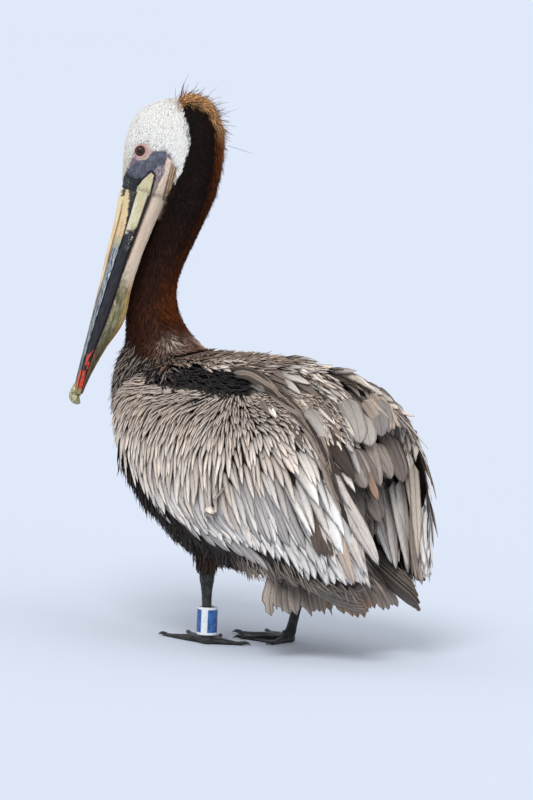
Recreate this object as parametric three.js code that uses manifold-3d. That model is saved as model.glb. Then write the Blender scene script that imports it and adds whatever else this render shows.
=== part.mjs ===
// Brown pelican, standing at rest: head turned to its left, bill laid down along the neck,
// wings folded, tail lowered, a numberless leg band on the left tarsus.
// Millimetres, +Z up. The bird faces -Y and its left side is +X. The soles stand on one level.
import * as THREE from "three";
import { mergeVertices } from "three/addons/utils/BufferGeometryUtils.js";
import Module from "manifold-3d";

// ---- driving dimensions ----
const GAP = 0.3; // clearance between neighbouring solids
const HOLLOW_CLEARANCE = 1.4; // clearance of a hollow cut by a coarser copy of what lies in it
const BILL_LENGTH = 309; // culmen, from the forehead feathers to the front of the nail
const HEAD_TURN = 40; // degrees, to the bird's left
const BILL_DROOP = 77.5; // degrees below level
const CULMEN_BASE = [72, -222, 625]; // where the forehead feathers end on the culmen
const EYE_RADIUS = 8.8;
const EYE_PLACE = [20.8, -12, -58.5]; // left, towards the crown, along the bill, from the culmen base
const NECK_RADIUS = 36;
const TAIL_LENGTH = 135;
const TAIL_DROOP = 54; // degrees below level
const TAIL_TURN = 17; // degrees, to the bird's left
const TAIL_HALF_WIDTH = { root: 38, tips: 122 };
const TAIL_FEATHERS = 11;
const TARSUS_HEIGHT = 94;
const WEB_THICKNESS = 2.6;
const BAND_INNER_RADIUS = 12.6;
const BAND_WALL = 1.8;
const BAND_HEIGHT = 39;

const TOES = {
  // heading is in degrees from straight ahead, positive to the bird's left
  left: {
    outer: { heading: -5, length: 84 },
    middle: { heading: -33, length: 90 },
    inner: { heading: -65, length: 66 },
    hind: { heading: -143, length: 50 },
  },
  right: {
    outer: { heading: -30, length: 84 },
    middle: { heading: 0, length: 90 },
    inner: { heading: 35, length: 66 },
    hind: { heading: 100, length: 46 },
  },
};
const ANKLE = { left: [58, -41, 0], right: [-58, 10, 0] };
const HOCK = { left: [58, -46, TARSUS_HEIGHT], right: [-58, 33, TARSUS_HEIGHT - 6] };
const CLAW_LENGTH = 13;

// ---- colours ----
const COLOUR = {
  white: 0xe9e6df,
  neck: 0x3b1f14,
  body: 0x2a211d,
  covert: 0xb8a9a0,
  flight: 0x4a403c,
  culmen: 0xd9b98f,
  nail: 0x8a8460,
  ramus: 0x2a2a2c,
  pouch: 0xc9b79c,
  eye: 0x2a1a12,
  foot: 0x2e2f2d,
  band: 0x1f4e8c,
};

const wasm = await Module();
wasm.setup();

const at = (x, y, z) => new THREE.Vector3(x, y, z);
const radians = THREE.MathUtils.degToRad;
const clamp = THREE.MathUtils.clamp;
const lerp = THREE.MathUtils.lerp;

// ---- closed meshes from rings ----

// A closed skin over rings of points, each ring with the same count, ends closed by a fan.
function skinOfRings(rings) {
  const count = rings[0].length;
  const points = rings.flat();
  const faces = [];
  for (let row = 0; row + 1 < rings.length; row += 1) {
    for (let i = 0; i < count; i += 1) {
      const a = row * count + i;
      const b = row * count + ((i + 1) % count);
      faces.push(a, b, b + count, a, b + count, a + count);
    }
  }
  const first = points.length;
  const lastRow = (rings.length - 1) * count;
  points.push(middleOf(rings[0]), middleOf(rings[rings.length - 1]));
  for (let i = 0; i < count; i += 1) {
    const next = (i + 1) % count;
    faces.push(first, next, i, first + 1, lastRow + i, lastRow + next);
  }
  const geometry = new THREE.BufferGeometry().setFromPoints(points);
  geometry.setIndex(faces);
  return geometry;
}

function middleOf(ring) {
  return ring.reduce((sum, point) => sum.add(point), at(0, 0, 0)).divideScalar(ring.length);
}

// A manifold-3d solid of a closed geometry, turned the right way out.
function solid(geometry) {
  const bare = geometry.clone();
  bare.deleteAttribute("normal");
  bare.deleteAttribute("uv");
  const merged = mergeVertices(bare, 1e-3);
  const vertProperties = new Float32Array(merged.attributes.position.array);
  const triVerts = new Uint32Array(merged.index.array);
  const build = () => new wasm.Manifold(new wasm.Mesh({ numProp: 3, vertProperties, triVerts }));
  const made = build();
  if (made.volume() > 0) return made;
  for (let i = 0; i < triVerts.length; i += 3) {
    [triVerts[i + 1], triVerts[i + 2]] = [triVerts[i + 2], triVerts[i + 1]];
  }
  return build();
}

// The largest connected piece of a solid, so that a cut leaves no crumbs.
function mainPiece(shape) {
  return shape.decompose().reduce((best, piece) => (piece.volume() > best.volume() ? piece : best));
}

function geometryOf(shape) {
  const mesh = shape.getMesh();
  const geometry = new THREE.BufferGeometry();
  geometry.setAttribute("position", new THREE.BufferAttribute(new Float32Array(mesh.vertProperties), 3));
  geometry.setIndex(new THREE.BufferAttribute(new Uint32Array(mesh.triVerts), 1));
  geometry.computeVertexNormals();
  return geometry;
}

// An oval section: width each side, top and bottom along its own up direction.
function ovalRing(centre, lateral, up, size, sides, power = 2) {
  const [width, top, bottom] = size;
  const ring = [];
  for (let i = 0; i < sides; i += 1) {
    const angle = (2 * Math.PI * i) / sides;
    const across = Math.sign(Math.cos(angle)) * Math.abs(Math.cos(angle)) ** (2 / power);
    const rise = Math.sign(Math.sin(angle)) * Math.abs(Math.sin(angle)) ** (2 / power);
    const height = rise > 0 ? rise * top : rise * bottom;
    ring.push(centre.clone().addScaledVector(lateral, across * width).addScaledVector(up, height));
  }
  return ring;
}

// A smooth run through rows of numbers, read at any place from 0 to 1.
function smoothRows(rows) {
  const columns = rows[0].map((_, column) => {
    const points = rows.map((row, i) => at(i, row[column], 0));
    return new THREE.CatmullRomCurve3(points, false, "catmullrom", 0.5);
  });
  return (u) => columns.map((curve) => curve.getPoint(clamp(u, 0, 1)).y);
}

// A body lofted through stations [x, y, z, width, top, bottom] whose sections stand square to the run.
function loftAlong(stations, { lateral, sides = 20, steps = 20, grow = 0, power = 2 }) {
  const read = smoothRows(stations);
  const spine = new THREE.CatmullRomCurve3(stations.map((row) => at(...row.slice(0, 3))));
  spine.curveType = "catmullrom";
  const rings = [];
  for (let step = 0; step <= steps; step += 1) {
    const u = step / steps;
    const [x, y, z, ...size] = read(u);
    const along = spine.getTangent(u);
    const sideways = lateral.clone().addScaledVector(along, -lateral.dot(along)).normalize();
    const up = sideways.clone().cross(along).normalize();
    const grown = size.map((value) => Math.max(value, 0.4) + grow);
    const push = step === 0 ? -grow : step === steps ? grow : 0;
    const centre = at(x, y, z).addScaledVector(along, push);
    rings.push(ovalRing(centre, sideways, up, grown, sides, power));
  }
  return skinOfRings(rings);
}

// ---- trunk: upright sections from breast to rump ----
const TRUNK_ROWS = [
  // y, half width, top, widest height, bottom
  [-258, 5, 360, 350, 340],
  [-250, 38, 397, 344, 300],
  [-228, 62, 408, 326, 250],
  [-184, 82, 406, 304, 188],
  [-120, 94, 403, 286, 124],
  [-50, 98, 404, 268, 104],
  [20, 96, 405, 258, 104],
  [80, 86, 394, 250, 116],
  [130, 68, 362, 236, 136],
  [170, 46, 312, 222, 158],
  [196, 14, 250, 216, 182],
];

function trunkForm() {
  const read = smoothRows(TRUNK_ROWS);
  const steps = 18;
  const sides = 16;
  const rings = [];
  for (let step = 0; step <= steps; step += 1) {
    const [y, width, top, middle, bottom] = read(step / steps);
    const size = [width, top - middle, middle - bottom].map((value) => Math.max(value, 1));
    rings.push(ovalRing(at(0, y, middle), at(1, 0, 0), at(0, 0, 1), size, sides, 2.25));
  }
  return skinOfRings(rings);
}

// ---- neck: an S from the breast to the nape ----
const NECK_ROWS = [
  // x, y, z, half width, front, nape
  [0, -160, 352, 56, 76, 60],
  [0, -184, 392, 52, 74, 44],
  [0, -206, 430, 42, 50, 33],
  [0, -221, 470, NECK_RADIUS - 3, NECK_RADIUS, NECK_RADIUS],
  [0, -216, 510, NECK_RADIUS - 3, NECK_RADIUS, NECK_RADIUS],
  [0, -196, 552, NECK_RADIUS - 3, NECK_RADIUS, NECK_RADIUS],
  [1, -172, 596, NECK_RADIUS - 3, NECK_RADIUS, NECK_RADIUS],
  [4, -156, 636, NECK_RADIUS - 1, NECK_RADIUS, NECK_RADIUS + 5],
  [7, -151, 672, NECK_RADIUS, NECK_RADIUS, NECK_RADIUS + 8],
  [10, -149, 705, NECK_RADIUS - 2, NECK_RADIUS - 2, NECK_RADIUS + 9],
  [14, -152, 730, NECK_RADIUS - 6, 26, NECK_RADIUS + 4],
  [18, -158, 748, 20, 16, 26],
  [22, -164, 757, 6, 5, 8],
];
const NECK_CUT = 520; // height of the thin cut between the two lengths of the neck

function neckForm(grow) {
  return loftAlong(NECK_ROWS, { lateral: at(1, 0, 0), sides: 14, steps: 16, grow });
}

// ---- head frame: x to the left of the head, y towards the culmen, z along the bill ----
const headFrame = new THREE.Matrix4()
  .makeTranslation(...CULMEN_BASE)
  .multiply(new THREE.Matrix4().makeRotationZ(radians(HEAD_TURN)))
  .multiply(new THREE.Matrix4().makeRotationX(radians(90 + BILL_DROOP)));

const HEAD_ROWS = [
  // x, towards the culmen, along the bill, half width, throat side, crown side
  [0, -47, -140, 5, 8, 6],
  [0, -43, -131, 18, 24, 21],
  [0, -36, -112, 26, 36, 38],
  [0, -33, -88, 31, 42, 44],
  [0, -33, -62, 32, 44, 44],
  [0, -33, -36, 30, 43, 40],
  [0, -32, -14, 27, 38, 34],
  [0, -32, 0, 24, 33, 32],
];

function headForm(grow) {
  const geometry = loftAlong(HEAD_ROWS, { lateral: at(1, 0, 0), sides: 16, steps: 12, grow, power: 2.1 });
  return geometry.applyMatrix4(headFrame);
}

// ---- bill: sections square to its own axis, from lines that run base to tip ----
const BILL_LINES = smoothRows([
  // along, culmen, mouth line, lower edge of the rami, pouch keel, half width
  [-30, -10, -26, -42, -60, 23],
  [0, 0, -22, -40, -64, 22],
  [40, -2, -21, -37, -58, 20],
  [90, -3, -18.5, -33, -52, 18],
  [140, -5, -15.5, -31, -50, 16.5],
  [180, -6, -13.5, -28.5, -52, 15.5],
  [225, -6.5, -11.5, -23.5, -37, 15.5],
  [262, -7, -12, -20.5, -27, 15],
  [296, -8, -13.5, -19.5, -21.5, 11],
]);

function billRings(section, from, to, steps) {
  const rings = [];
  for (let step = 0; step <= steps; step += 1) {
    const u = lerp(from, to, step / steps);
    rings.push(section(...BILL_LINES(u)).map(([x, y, z]) => at(x, y, z)));
  }
  return skinOfRings(rings).applyMatrix4(headFrame);
}

// Upper mandible: a rounded ridge between two flat side plates, flat underneath.
function upperSection(along, culmen, mouth, rami, keel, half) {
  const deep = culmen - mouth;
  const side = [
    [0.0, culmen],
    [0.26 * half, culmen - 0.05 * deep],
    [0.42 * half, culmen - 0.26 * deep],
    [0.72 * half, culmen - 0.42 * deep],
    [0.94 * half, culmen - 0.66 * deep],
    [half, mouth + GAP],
  ];
  const mirrored = side.slice(1).reverse().map(([x, y]) => [-x, y]);
  return [...side, [0, mouth + GAP], ...mirrored].map(([x, y]) => [x, y, along]);
}

// Lower mandible: the two rami with the floor of the mouth closed between them.
function lowerSection(along, culmen, mouth, rami, keel, half) {
  const deep = mouth - rami;
  const side = [
    [0.5 * half, mouth],
    [0.96 * half, mouth - 0.04 * deep],
    [1.0 * half, mouth - 0.3 * deep],
    [0.95 * half, mouth - 0.7 * deep],
    [0.86 * half, rami + GAP],
  ];
  const mirrored = side.slice().reverse().map(([x, y]) => [-x, y]);
  return [...side, ...mirrored].map(([x, y]) => [x, y, along]);
}

// Pouch: bare skin folded up under the rami, down to a soft keel.
function pouchSection(along, culmen, mouth, rami, keel, half) {
  const deep = rami - keel;
  const side = [
    [0.84 * half, rami],
    [0.8 * half, rami - 0.3 * deep],
    [0.58 * half, rami - 0.66 * deep],
    [0.26 * half, rami - 0.93 * deep],
    [0, keel],
  ];
  const mirrored = side.slice(0, -1).reverse().map(([x, y]) => [-x, y]);
  return [...side, ...mirrored].map(([x, y]) => [x, y, along]);
}

// The nail: a hook that bends down over the tip of the lower mandible.
function nailForm(grow) {
  const rows = [
    [0, -11, 280, 4, 2.6, 2.6],
    [0, -8.5, 290, 8, 3.6, 4.2],
    [0, -7.5, 300, 8.6, 5, 5],
    [0, -11, BILL_LENGTH, 7.4, 4.6, 5],
    [0, -17.5, BILL_LENGTH + 3, 5, 4, 4],
    [0, -23, BILL_LENGTH - 1, 1.6, 1.6, 1.6],
  ];
  return loftAlong(rows, { lateral: at(1, 0, 0), sides: 8, steps: 8, grow }).applyMatrix4(headFrame);
}

// ---- wings: a folded shell, its lower edge and its upper edge given from wrist to tip ----
const WING_ROWS = [
  // lower edge x, y, z, upper edge x, y, z, outward bulge, thickness
  [88, -202, 318, 84, -200, 338, 2, 8],
  [98, -188, 268, 76, -174, 366, 10, 22],
  [104, -156, 220, 62, -126, 388, 22, 27],
  [106, -108, 182, 46, -64, 399, 32, 28],
  [107, -50, 153, 36, 0, 404, 38, 27],
  [107, 10, 135, 36, 64, 402, 38, 25],
  [106, 66, 124, 44, 128, 387, 37, 22],
  [104, 118, 118, 58, 180, 354, 34, 19],
  [99, 160, 114, 70, 216, 306, 28, 16],
  [93, 194, 111, 74, 234, 244, 21, 13],
  [85, 220, 108, 68, 240, 178, 12, 10],
  [73, 238, 106, 60, 246, 124, 4, 6],
];
const WING_FINE = { steps: 30, across: 5, tip: 5 };
const WING_COARSE = { steps: 12, across: 5, tip: 0 };
const WING_EDGE = 1.2; // thickness at the feathered edges
const VANE_STEP = 3; // rings to one feather tip along the lower edge

function wingForm(side, grow, detail = WING_FINE) {
  const read = smoothRows(WING_ROWS);
  const rings = [];
  for (let step = 0; step <= detail.steps; step += 1) {
    const u = step / detail.steps;
    const row = read(u);
    const lower = at(...row.slice(0, 3));
    const upper = at(...row.slice(3, 6));
    const [bulge, thickness] = row.slice(6);
    const tip = Math.abs(Math.sin((Math.PI * step) / VANE_STEP)) * detail.tip;
    lower.z -= tip * clamp(u * 4, 0, 1);
    const chord = upper.clone().sub(lower).normalize();
    lower.addScaledVector(chord, -grow);
    upper.addScaledVector(chord, grow);
    const out = at(1, 0, 0).addScaledVector(chord, -chord.x).normalize();
    const outer = [];
    const inner = [];
    for (let i = 0; i <= detail.across; i += 1) {
      const v = i / detail.across;
      const arch = bulge * 4 * v * (1 - v);
      const half = WING_EDGE / 2 + grow + 0.5 * thickness * Math.sqrt(Math.sin(Math.PI * v));
      const middle = lower.clone().lerp(upper, v).addScaledVector(out, arch);
      outer.push(middle.clone().addScaledVector(out, half));
      inner.unshift(middle.clone().addScaledVector(out, -half));
    }
    rings.push([...outer, ...inner].map((point) => at(point.x * side, point.y, point.z)));
  }
  return skinOfRings(rings);
}

// The long primaries of the folded hand, a pointed bundle that shows below and behind the wing.
function primariesForm(side, grow) {
  const rows = [
    [84 * side, 96, 150, 7, 24, 18],
    [82 * side, 150, 122, 6, 26, 18],
    [72 * side, 200, 101, 5, 20, 14],
    [58 * side, 238, 86, 3.5, 13, 9],
    [46 * side, 258, 77, 1.2, 4, 3],
  ];
  return loftAlong(rows, { lateral: at(1, 0, 0), sides: 6, steps: 6, grow });
}

// ---- tail: a shallow fan of broad feathers with rounded tips, spread and curved like a skirt ----
const TAIL_ROOT = [2, 105, 169];
const TAIL_ARCH = 16;
const TAIL_BURIED = 26; // length of the root inside the rump

function tailForm(grow, stepsPerFeather = 3) {
  const frame = new THREE.Matrix4()
    .makeTranslation(...TAIL_ROOT)
    .multiply(new THREE.Matrix4().makeRotationZ(radians(-TAIL_TURN)))
    .multiply(new THREE.Matrix4().makeRotationX(radians(-TAIL_DROOP)));
  const across = TAIL_FEATHERS * stepsPerFeather;
  const along = 4;
  const rings = [];
  for (let i = 0; i <= across; i += 1) {
    const v = (2 * i) / across - 1;
    const roundTip = Math.abs(Math.sin((Math.PI * TAIL_FEATHERS * i) / across));
    const reach = TAIL_LENGTH * (1 - 0.16 * v * v) - 6 * (1 - roundTip) + grow;
    const upper = [];
    const under = [];
    for (let k = 0; k <= along; k += 1) {
      const y = lerp(-TAIL_BURIED - grow, reach, k / along);
      const opened = 1 - (1 - clamp(y / TAIL_LENGTH, 0, 1)) ** 1.6;
      const halfWidth = lerp(TAIL_HALF_WIDTH.root, TAIL_HALF_WIDTH.tips, opened) + grow;
      const half = lerp(8, 1, k / along) * (1 - 0.5 * v * v) + grow;
      const arch = -TAIL_ARCH * v * v * opened;
      upper.push(at(halfWidth * v, y, arch + half));
      under.unshift(at(halfWidth * v, y, arch - half));
    }
    rings.push([...upper, ...under]);
  }
  return skinOfRings(rings).applyMatrix4(frame);
}

// ---- legs ----
function shankForm(side, grow) {
  const [hx, hy, hz] = HOCK[side];
  const rows = [
    [hx * 0.86, hy + 4, hz + 88, 30, 34, 34],
    [hx * 0.94, hy + 2, hz + 48, 26, 30, 30],
    [hx, hy, hz + 20, 17, 19, 19],
    [hx, hy, hz + 4, 10.5, 11.5, 11.5],
  ];
  return loftAlong(rows, { lateral: at(1, 0, 0), sides: 10, steps: 5, grow });
}

function tarsusForm(side, grow) {
  const ankle = at(...ANKLE[side]);
  const hock = at(...HOCK[side]);
  const row = (t, width, front, back) => [...ankle.clone().lerp(hock, t).toArray(), width, front, back];
  const rows = [
    row(0.15, 7.5, 8.5, 8.5),
    row(0.3, 6, 7.6, 7.6),
    row(0.55, 5.6, 7.4, 7.4),
    row(0.8, 6.6, 8.4, 8.6),
    row(0.94, 9.4, 10.6, 11),
    row(1.02, 9.8, 11, 11.4),
    row(1.1, 8, 9, 9),
  ];
  return loftAlong(rows, { lateral: at(1, 0, 0), sides: 8, steps: 9, grow });
}

const headingOf = (degrees) => at(Math.sin(radians(degrees)), -Math.cos(radians(degrees)), 0);

// One toe, flat below: a low ridge with a knuckle at each third.
function toeForm(ankle, toe) {
  const ahead = headingOf(toe.heading);
  const sideways = at(-ahead.y, ahead.x, 0);
  const steps = 4;
  const rings = [];
  for (let step = 0; step <= steps; step += 1) {
    const u = step / steps;
    const knuckle = 1 + 0.1 * Math.cos(4 * Math.PI * u);
    const half = lerp(8.2, 4, u) * knuckle * (step === steps ? 0.7 : 1);
    const tall = lerp(12.5, 6, u ** 0.6) * knuckle * (step === steps ? 0.75 : 1);
    const centre = ankle.clone().addScaledVector(ahead, lerp(-5, toe.length, u));
    const ring = ovalRing(centre.setZ(tall * 0.45), sideways, at(0, 0, 1), [half, tall * 0.55, tall], 6);
    rings.push(ring.map((point) => point.setZ(Math.max(point.z, 0))));
  }
  return skinOfRings(rings);
}

// The web that joins all four toes, its free edges drawn in towards the ankle.
function webForm(ankle, toes) {
  const inset = 3;
  const tips = toes.map((toe) => headingOf(toe.heading).multiplyScalar(toe.length - inset));
  const outline = new THREE.Shape();
  outline.moveTo(0, 0);
  outline.lineTo(tips[0].x, tips[0].y);
  for (let i = 1; i < tips.length; i += 1) {
    const slack = tips[i - 1].clone().add(tips[i]).multiplyScalar(0.4);
    outline.quadraticCurveTo(slack.x, slack.y, tips[i].x, tips[i].y);
  }
  outline.lineTo(0, 0);
  const settings = { depth: WEB_THICKNESS, bevelEnabled: false, curveSegments: 4 };
  return new THREE.ExtrudeGeometry(outline, settings).translate(ankle.x, ankle.y, 0);
}

function footForm(side) {
  const ankle = at(...ANKLE[side]);
  const toes = Object.values(TOES[side]);
  const ridges = toes.map((toe) => solid(toeForm(ankle, toe)));
  const stub = [
    [ankle.x, ankle.y, 1, 9, 10, 10],
    [ankle.x, ankle.y, 16, 8.5, 9.5, 9.5],
  ];
  const ankleStub = solid(loftAlong(stub, { lateral: at(1, 0, 0), sides: 8, steps: 1 }));
  return [...ridges, ankleStub].reduce((whole, piece) => whole.add(piece), solid(webForm(ankle, toes)));
}

// A claw: a bent cone whose flat base stands just off the toe.
function clawGeometry() {
  const rows = [
    [0, 0, 0, 2.7, 3, 2.6],
    [0, CLAW_LENGTH * 0.35, 0.6, 2.3, 2.6, 2.3],
    [0, CLAW_LENGTH * 0.7, 0.2, 1.5, 1.7, 1.5],
    [0, CLAW_LENGTH, -1.8, 0.4, 0.4, 0.4],
  ];
  return geometryOf(solid(loftAlong(rows, { lateral: at(1, 0, 0), sides: 5, steps: 3 })));
}

// ---- the parts, cut against one another ----
const cut = (shape, ...cutters) => mainPiece(cutters.reduce((left, cutter) => left.subtract(cutter), shape));

const bigBox = (zLow, zHigh) => {
  const size = 2000;
  const box = new THREE.BoxGeometry(size, size, zHigh - zLow);
  return solid(box.translate(0, 0, (zHigh + zLow) / 2));
};

const eyeSphere = (side, grow) => {
  const ball = new THREE.SphereGeometry(EYE_RADIUS + grow, 10, 7);
  ball.translate(EYE_PLACE[0] * side, EYE_PLACE[1], EYE_PLACE[2]);
  return ball.applyMatrix4(headFrame);
};

const bill = {
  upper: solid(billRings(upperSection, 0.09, 1, 13)),
  lower: solid(billRings(lowerSection, 0.06, 1, 13)),
  pouch: solid(billRings(pouchSection, 0.06, 0.99, 13)),
};
const nail = solid(nailForm(0));
const head = solid(headForm(0));
const headGrown = solid(headForm(GAP));
const neck = solid(neckForm(0));
const neckGrown = solid(neckForm(GAP));
const wings = { left: solid(wingForm(1, 0)), right: solid(wingForm(-1, 0)) };
const wingsGrown = { left: solid(wingForm(1, GAP)), right: solid(wingForm(-1, GAP)) };
const primaries = { left: solid(primariesForm(1, 0)), right: solid(primariesForm(-1, 0)) };
const tail = solid(tailForm(0));
const tailGrown = solid(tailForm(GAP));
const tailHollow = solid(tailForm(HOLLOW_CLEARANCE, 1));

const shapes = {};
shapes.head = cut(head, solid(eyeSphere(1, GAP)), solid(eyeSphere(-1, GAP)));
shapes.eye_left = solid(eyeSphere(1, 0));
shapes.eye_right = solid(eyeSphere(-1, 0));
shapes.bill_upper = cut(bill.upper, headGrown, solid(nailForm(GAP)));
shapes.bill_nail = nail;
shapes.bill_lower = cut(bill.lower, headGrown, solid(nailForm(GAP)));
shapes.bill_pouch = cut(bill.pouch, headGrown, neckGrown, solid(nailForm(GAP)));
shapes.neck_upper = cut(neck, headGrown, bigBox(0, NECK_CUT + GAP));
shapes.neck_lower = cut(neck, bigBox(NECK_CUT, 1000));
for (const [side, sign] of [["left", 1], ["right", -1]]) {
  shapes[`wing_${side}`] = cut(wings[side], neckGrown, tailHollow);
  shapes[`primaries_${side}`] = cut(primaries[side], wingsGrown[side], tailGrown, tail);
  shapes[`shank_${side}`] = cut(solid(shankForm(side, 0)), wingsGrown[side], solid(tarsusForm(side, GAP)));
  shapes[`tarsus_${side}`] = solid(tarsusForm(side, 0));
  shapes[`foot_${side}`] = cut(footForm(side), solid(tarsusForm(side, GAP)));
}
shapes.tail = tail;
const trunkCutters = [
  neckGrown,
  tailHollow,
  solid(wingForm(1, HOLLOW_CLEARANCE, WING_COARSE)),
  solid(wingForm(-1, HOLLOW_CLEARANCE, WING_COARSE)),
  solid(shankForm("left", GAP)),
  solid(shankForm("right", GAP)),
];
shapes.trunk = cut(solid(trunkForm()), ...trunkCutters);

// ---- scene graph ----
function finish(colour, roughness) {
  return new THREE.MeshStandardMaterial({ color: colour, roughness, metalness: 0 });
}

const FINISHES = {
  head: finish(COLOUR.white, 0.8),
  eye_left: finish(COLOUR.eye, 0.1),
  eye_right: finish(COLOUR.eye, 0.1),
  bill_upper: finish(COLOUR.culmen, 0.45),
  bill_nail: finish(COLOUR.nail, 0.4),
  bill_lower: finish(COLOUR.ramus, 0.45),
  bill_pouch: finish(COLOUR.pouch, 0.55),
  neck_upper: finish(COLOUR.neck, 0.85),
  neck_lower: finish(COLOUR.neck, 0.85),
  trunk: finish(COLOUR.body, 0.85),
  tail: finish(COLOUR.covert, 0.8),
};
const FINISH_OF_KIND = {
  wing: finish(COLOUR.covert, 0.8),
  primaries: finish(COLOUR.flight, 0.75),
  shank: finish(COLOUR.body, 0.85),
  tarsus: finish(COLOUR.foot, 0.6),
  foot: finish(COLOUR.foot, 0.6),
  claw: finish(COLOUR.foot, 0.35),
};

const pelican = new THREE.Group();
for (const [name, shape] of Object.entries(shapes)) {
  const material = FINISHES[name] ?? FINISH_OF_KIND[name.split("_")[0]];
  const mesh = new THREE.Mesh(geometryOf(shape), material.clone());
  mesh.name = name;
  pelican.add(mesh);
}

for (const side of ["left", "right"]) {
  for (const [toeName, toe] of Object.entries(TOES[side])) {
    const claw = new THREE.Mesh(clawGeometry(), FINISH_OF_KIND.claw.clone());
    claw.name = `claw_${side}_${toeName}`;
    const ahead = headingOf(toe.heading);
    claw.position.set(...ANKLE[side]).addScaledVector(ahead, toe.length + GAP);
    claw.position.z = 3.1;
    claw.rotation.z = radians(toe.heading + 180);
    pelican.add(claw);
  }
}

// The band hangs loose on the left tarsus: an open ring of square section.
const bandProfile = [
  new THREE.Vector2(BAND_INNER_RADIUS, 0),
  new THREE.Vector2(BAND_INNER_RADIUS + BAND_WALL, 0),
  new THREE.Vector2(BAND_INNER_RADIUS + BAND_WALL, BAND_HEIGHT),
  new THREE.Vector2(BAND_INNER_RADIUS, BAND_HEIGHT),
  new THREE.Vector2(BAND_INNER_RADIUS, 0),
];
const band = new THREE.Mesh(new THREE.LatheGeometry(bandProfile, 24), finish(COLOUR.band, 0.35));
band.name = "leg_band";
band.rotation.x = Math.PI / 2;
band.position.set(ANKLE.left[0], ANKLE.left[1] - 1, 13.5);
pelican.add(band);

// The origin is under the middle of the whole bird, on the level of its soles.
pelican.updateMatrixWorld(true);
const box = new THREE.Box3().setFromObject(pelican, true);
const middle = box.getCenter(at(0, 0, 0));
pelican.position.set(-middle.x, -middle.y, -box.min.z);

export default pelican;
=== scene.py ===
"""A brown pelican, standing: its skin, plumage, bill, eyes, feet and leg band.

Lengths here are millimetres in the bird's own frame, the one that part.mjs draws in: +Z up, the
bird faces -Y and its left is +X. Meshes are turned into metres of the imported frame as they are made.
"""
from math import atan, cos, pi, radians, sin

import bmesh
import bpy
import numpy as np
from mathutils import Matrix, Vector
from mathutils.bvhtree import BVHTree


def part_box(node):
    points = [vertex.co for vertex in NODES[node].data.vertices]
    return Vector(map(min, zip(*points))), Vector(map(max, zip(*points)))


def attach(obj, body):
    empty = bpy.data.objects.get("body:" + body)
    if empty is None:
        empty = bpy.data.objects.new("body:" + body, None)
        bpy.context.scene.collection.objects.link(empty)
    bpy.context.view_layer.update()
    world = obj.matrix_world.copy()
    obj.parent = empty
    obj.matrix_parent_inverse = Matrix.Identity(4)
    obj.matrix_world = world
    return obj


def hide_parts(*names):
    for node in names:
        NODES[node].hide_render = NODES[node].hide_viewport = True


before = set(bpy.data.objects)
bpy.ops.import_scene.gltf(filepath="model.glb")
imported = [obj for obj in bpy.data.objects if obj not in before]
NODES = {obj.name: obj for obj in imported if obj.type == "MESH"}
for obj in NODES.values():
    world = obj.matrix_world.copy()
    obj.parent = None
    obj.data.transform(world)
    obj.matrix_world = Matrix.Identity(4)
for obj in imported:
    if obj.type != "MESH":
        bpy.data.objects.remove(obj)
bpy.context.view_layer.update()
bpy.context.scene.view_settings.view_transform = "Standard"
SIDES = {"left": 1, "right": -1}

# ------------------------------------------------------------------ the head's own axes
HEAD_TURN = 40  # degrees, to the bird's left
BILL_DROOP = 77.5  # degrees below level
CULMEN_BASE = np.array([72.0, -222.0, 625.0])  # where the forehead feathers end on the culmen
EYE = np.array([20.8, -12.0, -58.5])  # left, towards the crown, along the bill
EYE_RADIUS = 8.8
turned = Matrix.Rotation(radians(HEAD_TURN), 3, "Z")
HEAD_AXES = np.array(turned @ Matrix.Rotation(radians(90 + BILL_DROOP), 3, "X"))


def middle_of(node):
    """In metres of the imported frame."""
    low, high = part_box(node)
    return (np.array(low) + np.array(high)) / 2


def to_head(points):
    """Left, towards the crown and along the bill, from the culmen's base."""
    return (points - CULMEN_BASE) @ HEAD_AXES


def from_head(places):
    return CULMEN_BASE + np.asarray(places, float) @ HEAD_AXES.T


EYES_MIDDLE = (middle_of("eye_left") + middle_of("eye_right")) * 500  # millimetres
SHIFT = EYES_MIDDLE - from_head(EYE * [0, 1, 1])  # from the bird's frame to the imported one


def metres(points):
    return (points + SHIFT) * 0.001


# ------------------------------------------------------------------ small numeric helpers
def unit(vectors):
    length = np.linalg.norm(vectors, axis=-1, keepdims=True)
    return vectors / np.maximum(length, 1e-9)


def dot(a, b):
    return (a * b).sum(-1, keepdims=True)


def step(low, high, value):
    """0 below low, 1 above high, and smooth between them."""
    t = np.clip((value - low) / (high - low), 0, 1)
    return t * t * (3 - 2 * t)


def ink(code):
    """The linear colour of an sRGB hex code; a colour stays as it is."""
    if not isinstance(code, str):
        return np.asarray(code)
    value = np.array([int(code[i:i + 2], 16) for i in (0, 2, 4)]) / 255
    return np.where(value < 0.04045, value / 12.92, ((value + 0.055) / 1.055) ** 2.4)


def mix(a, b, t):
    """From a where t is 0 to b where it is 1; each is a colour or a hex code."""
    t = np.asarray(t)[..., None]
    return ink(a) * (1 - t) + ink(b) * t


def mix_number(a, b, t):
    return a * (1 - t) + b * t


def along_line(line, places):
    """The second numbers of a line of pairs, read at places of the first."""
    return np.interp(places, *np.transpose(line))


def wobble(points, size, seed):
    """A smooth pattern from -1 to 1 whose bumps are about size across."""
    draw = np.random.default_rng(1000 + seed)
    total = 0
    for octave in range(3):
        for _ in range(7):
            wave = unit(draw.normal(size=3)) * 2 * pi / size * 1.7 ** octave * draw.uniform(0.7, 1.3)
            total = total + np.sin(points @ wave + draw.uniform(0, 2 * pi)) / 1.6 ** octave
    return total / 5.2


# ------------------------------------------------------------------ meshes
def added(name, data):
    """A new object of the scene."""
    thing = bpy.data.objects.new(name, data)
    bpy.context.scene.collection.objects.link(thing)
    return thing


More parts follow.
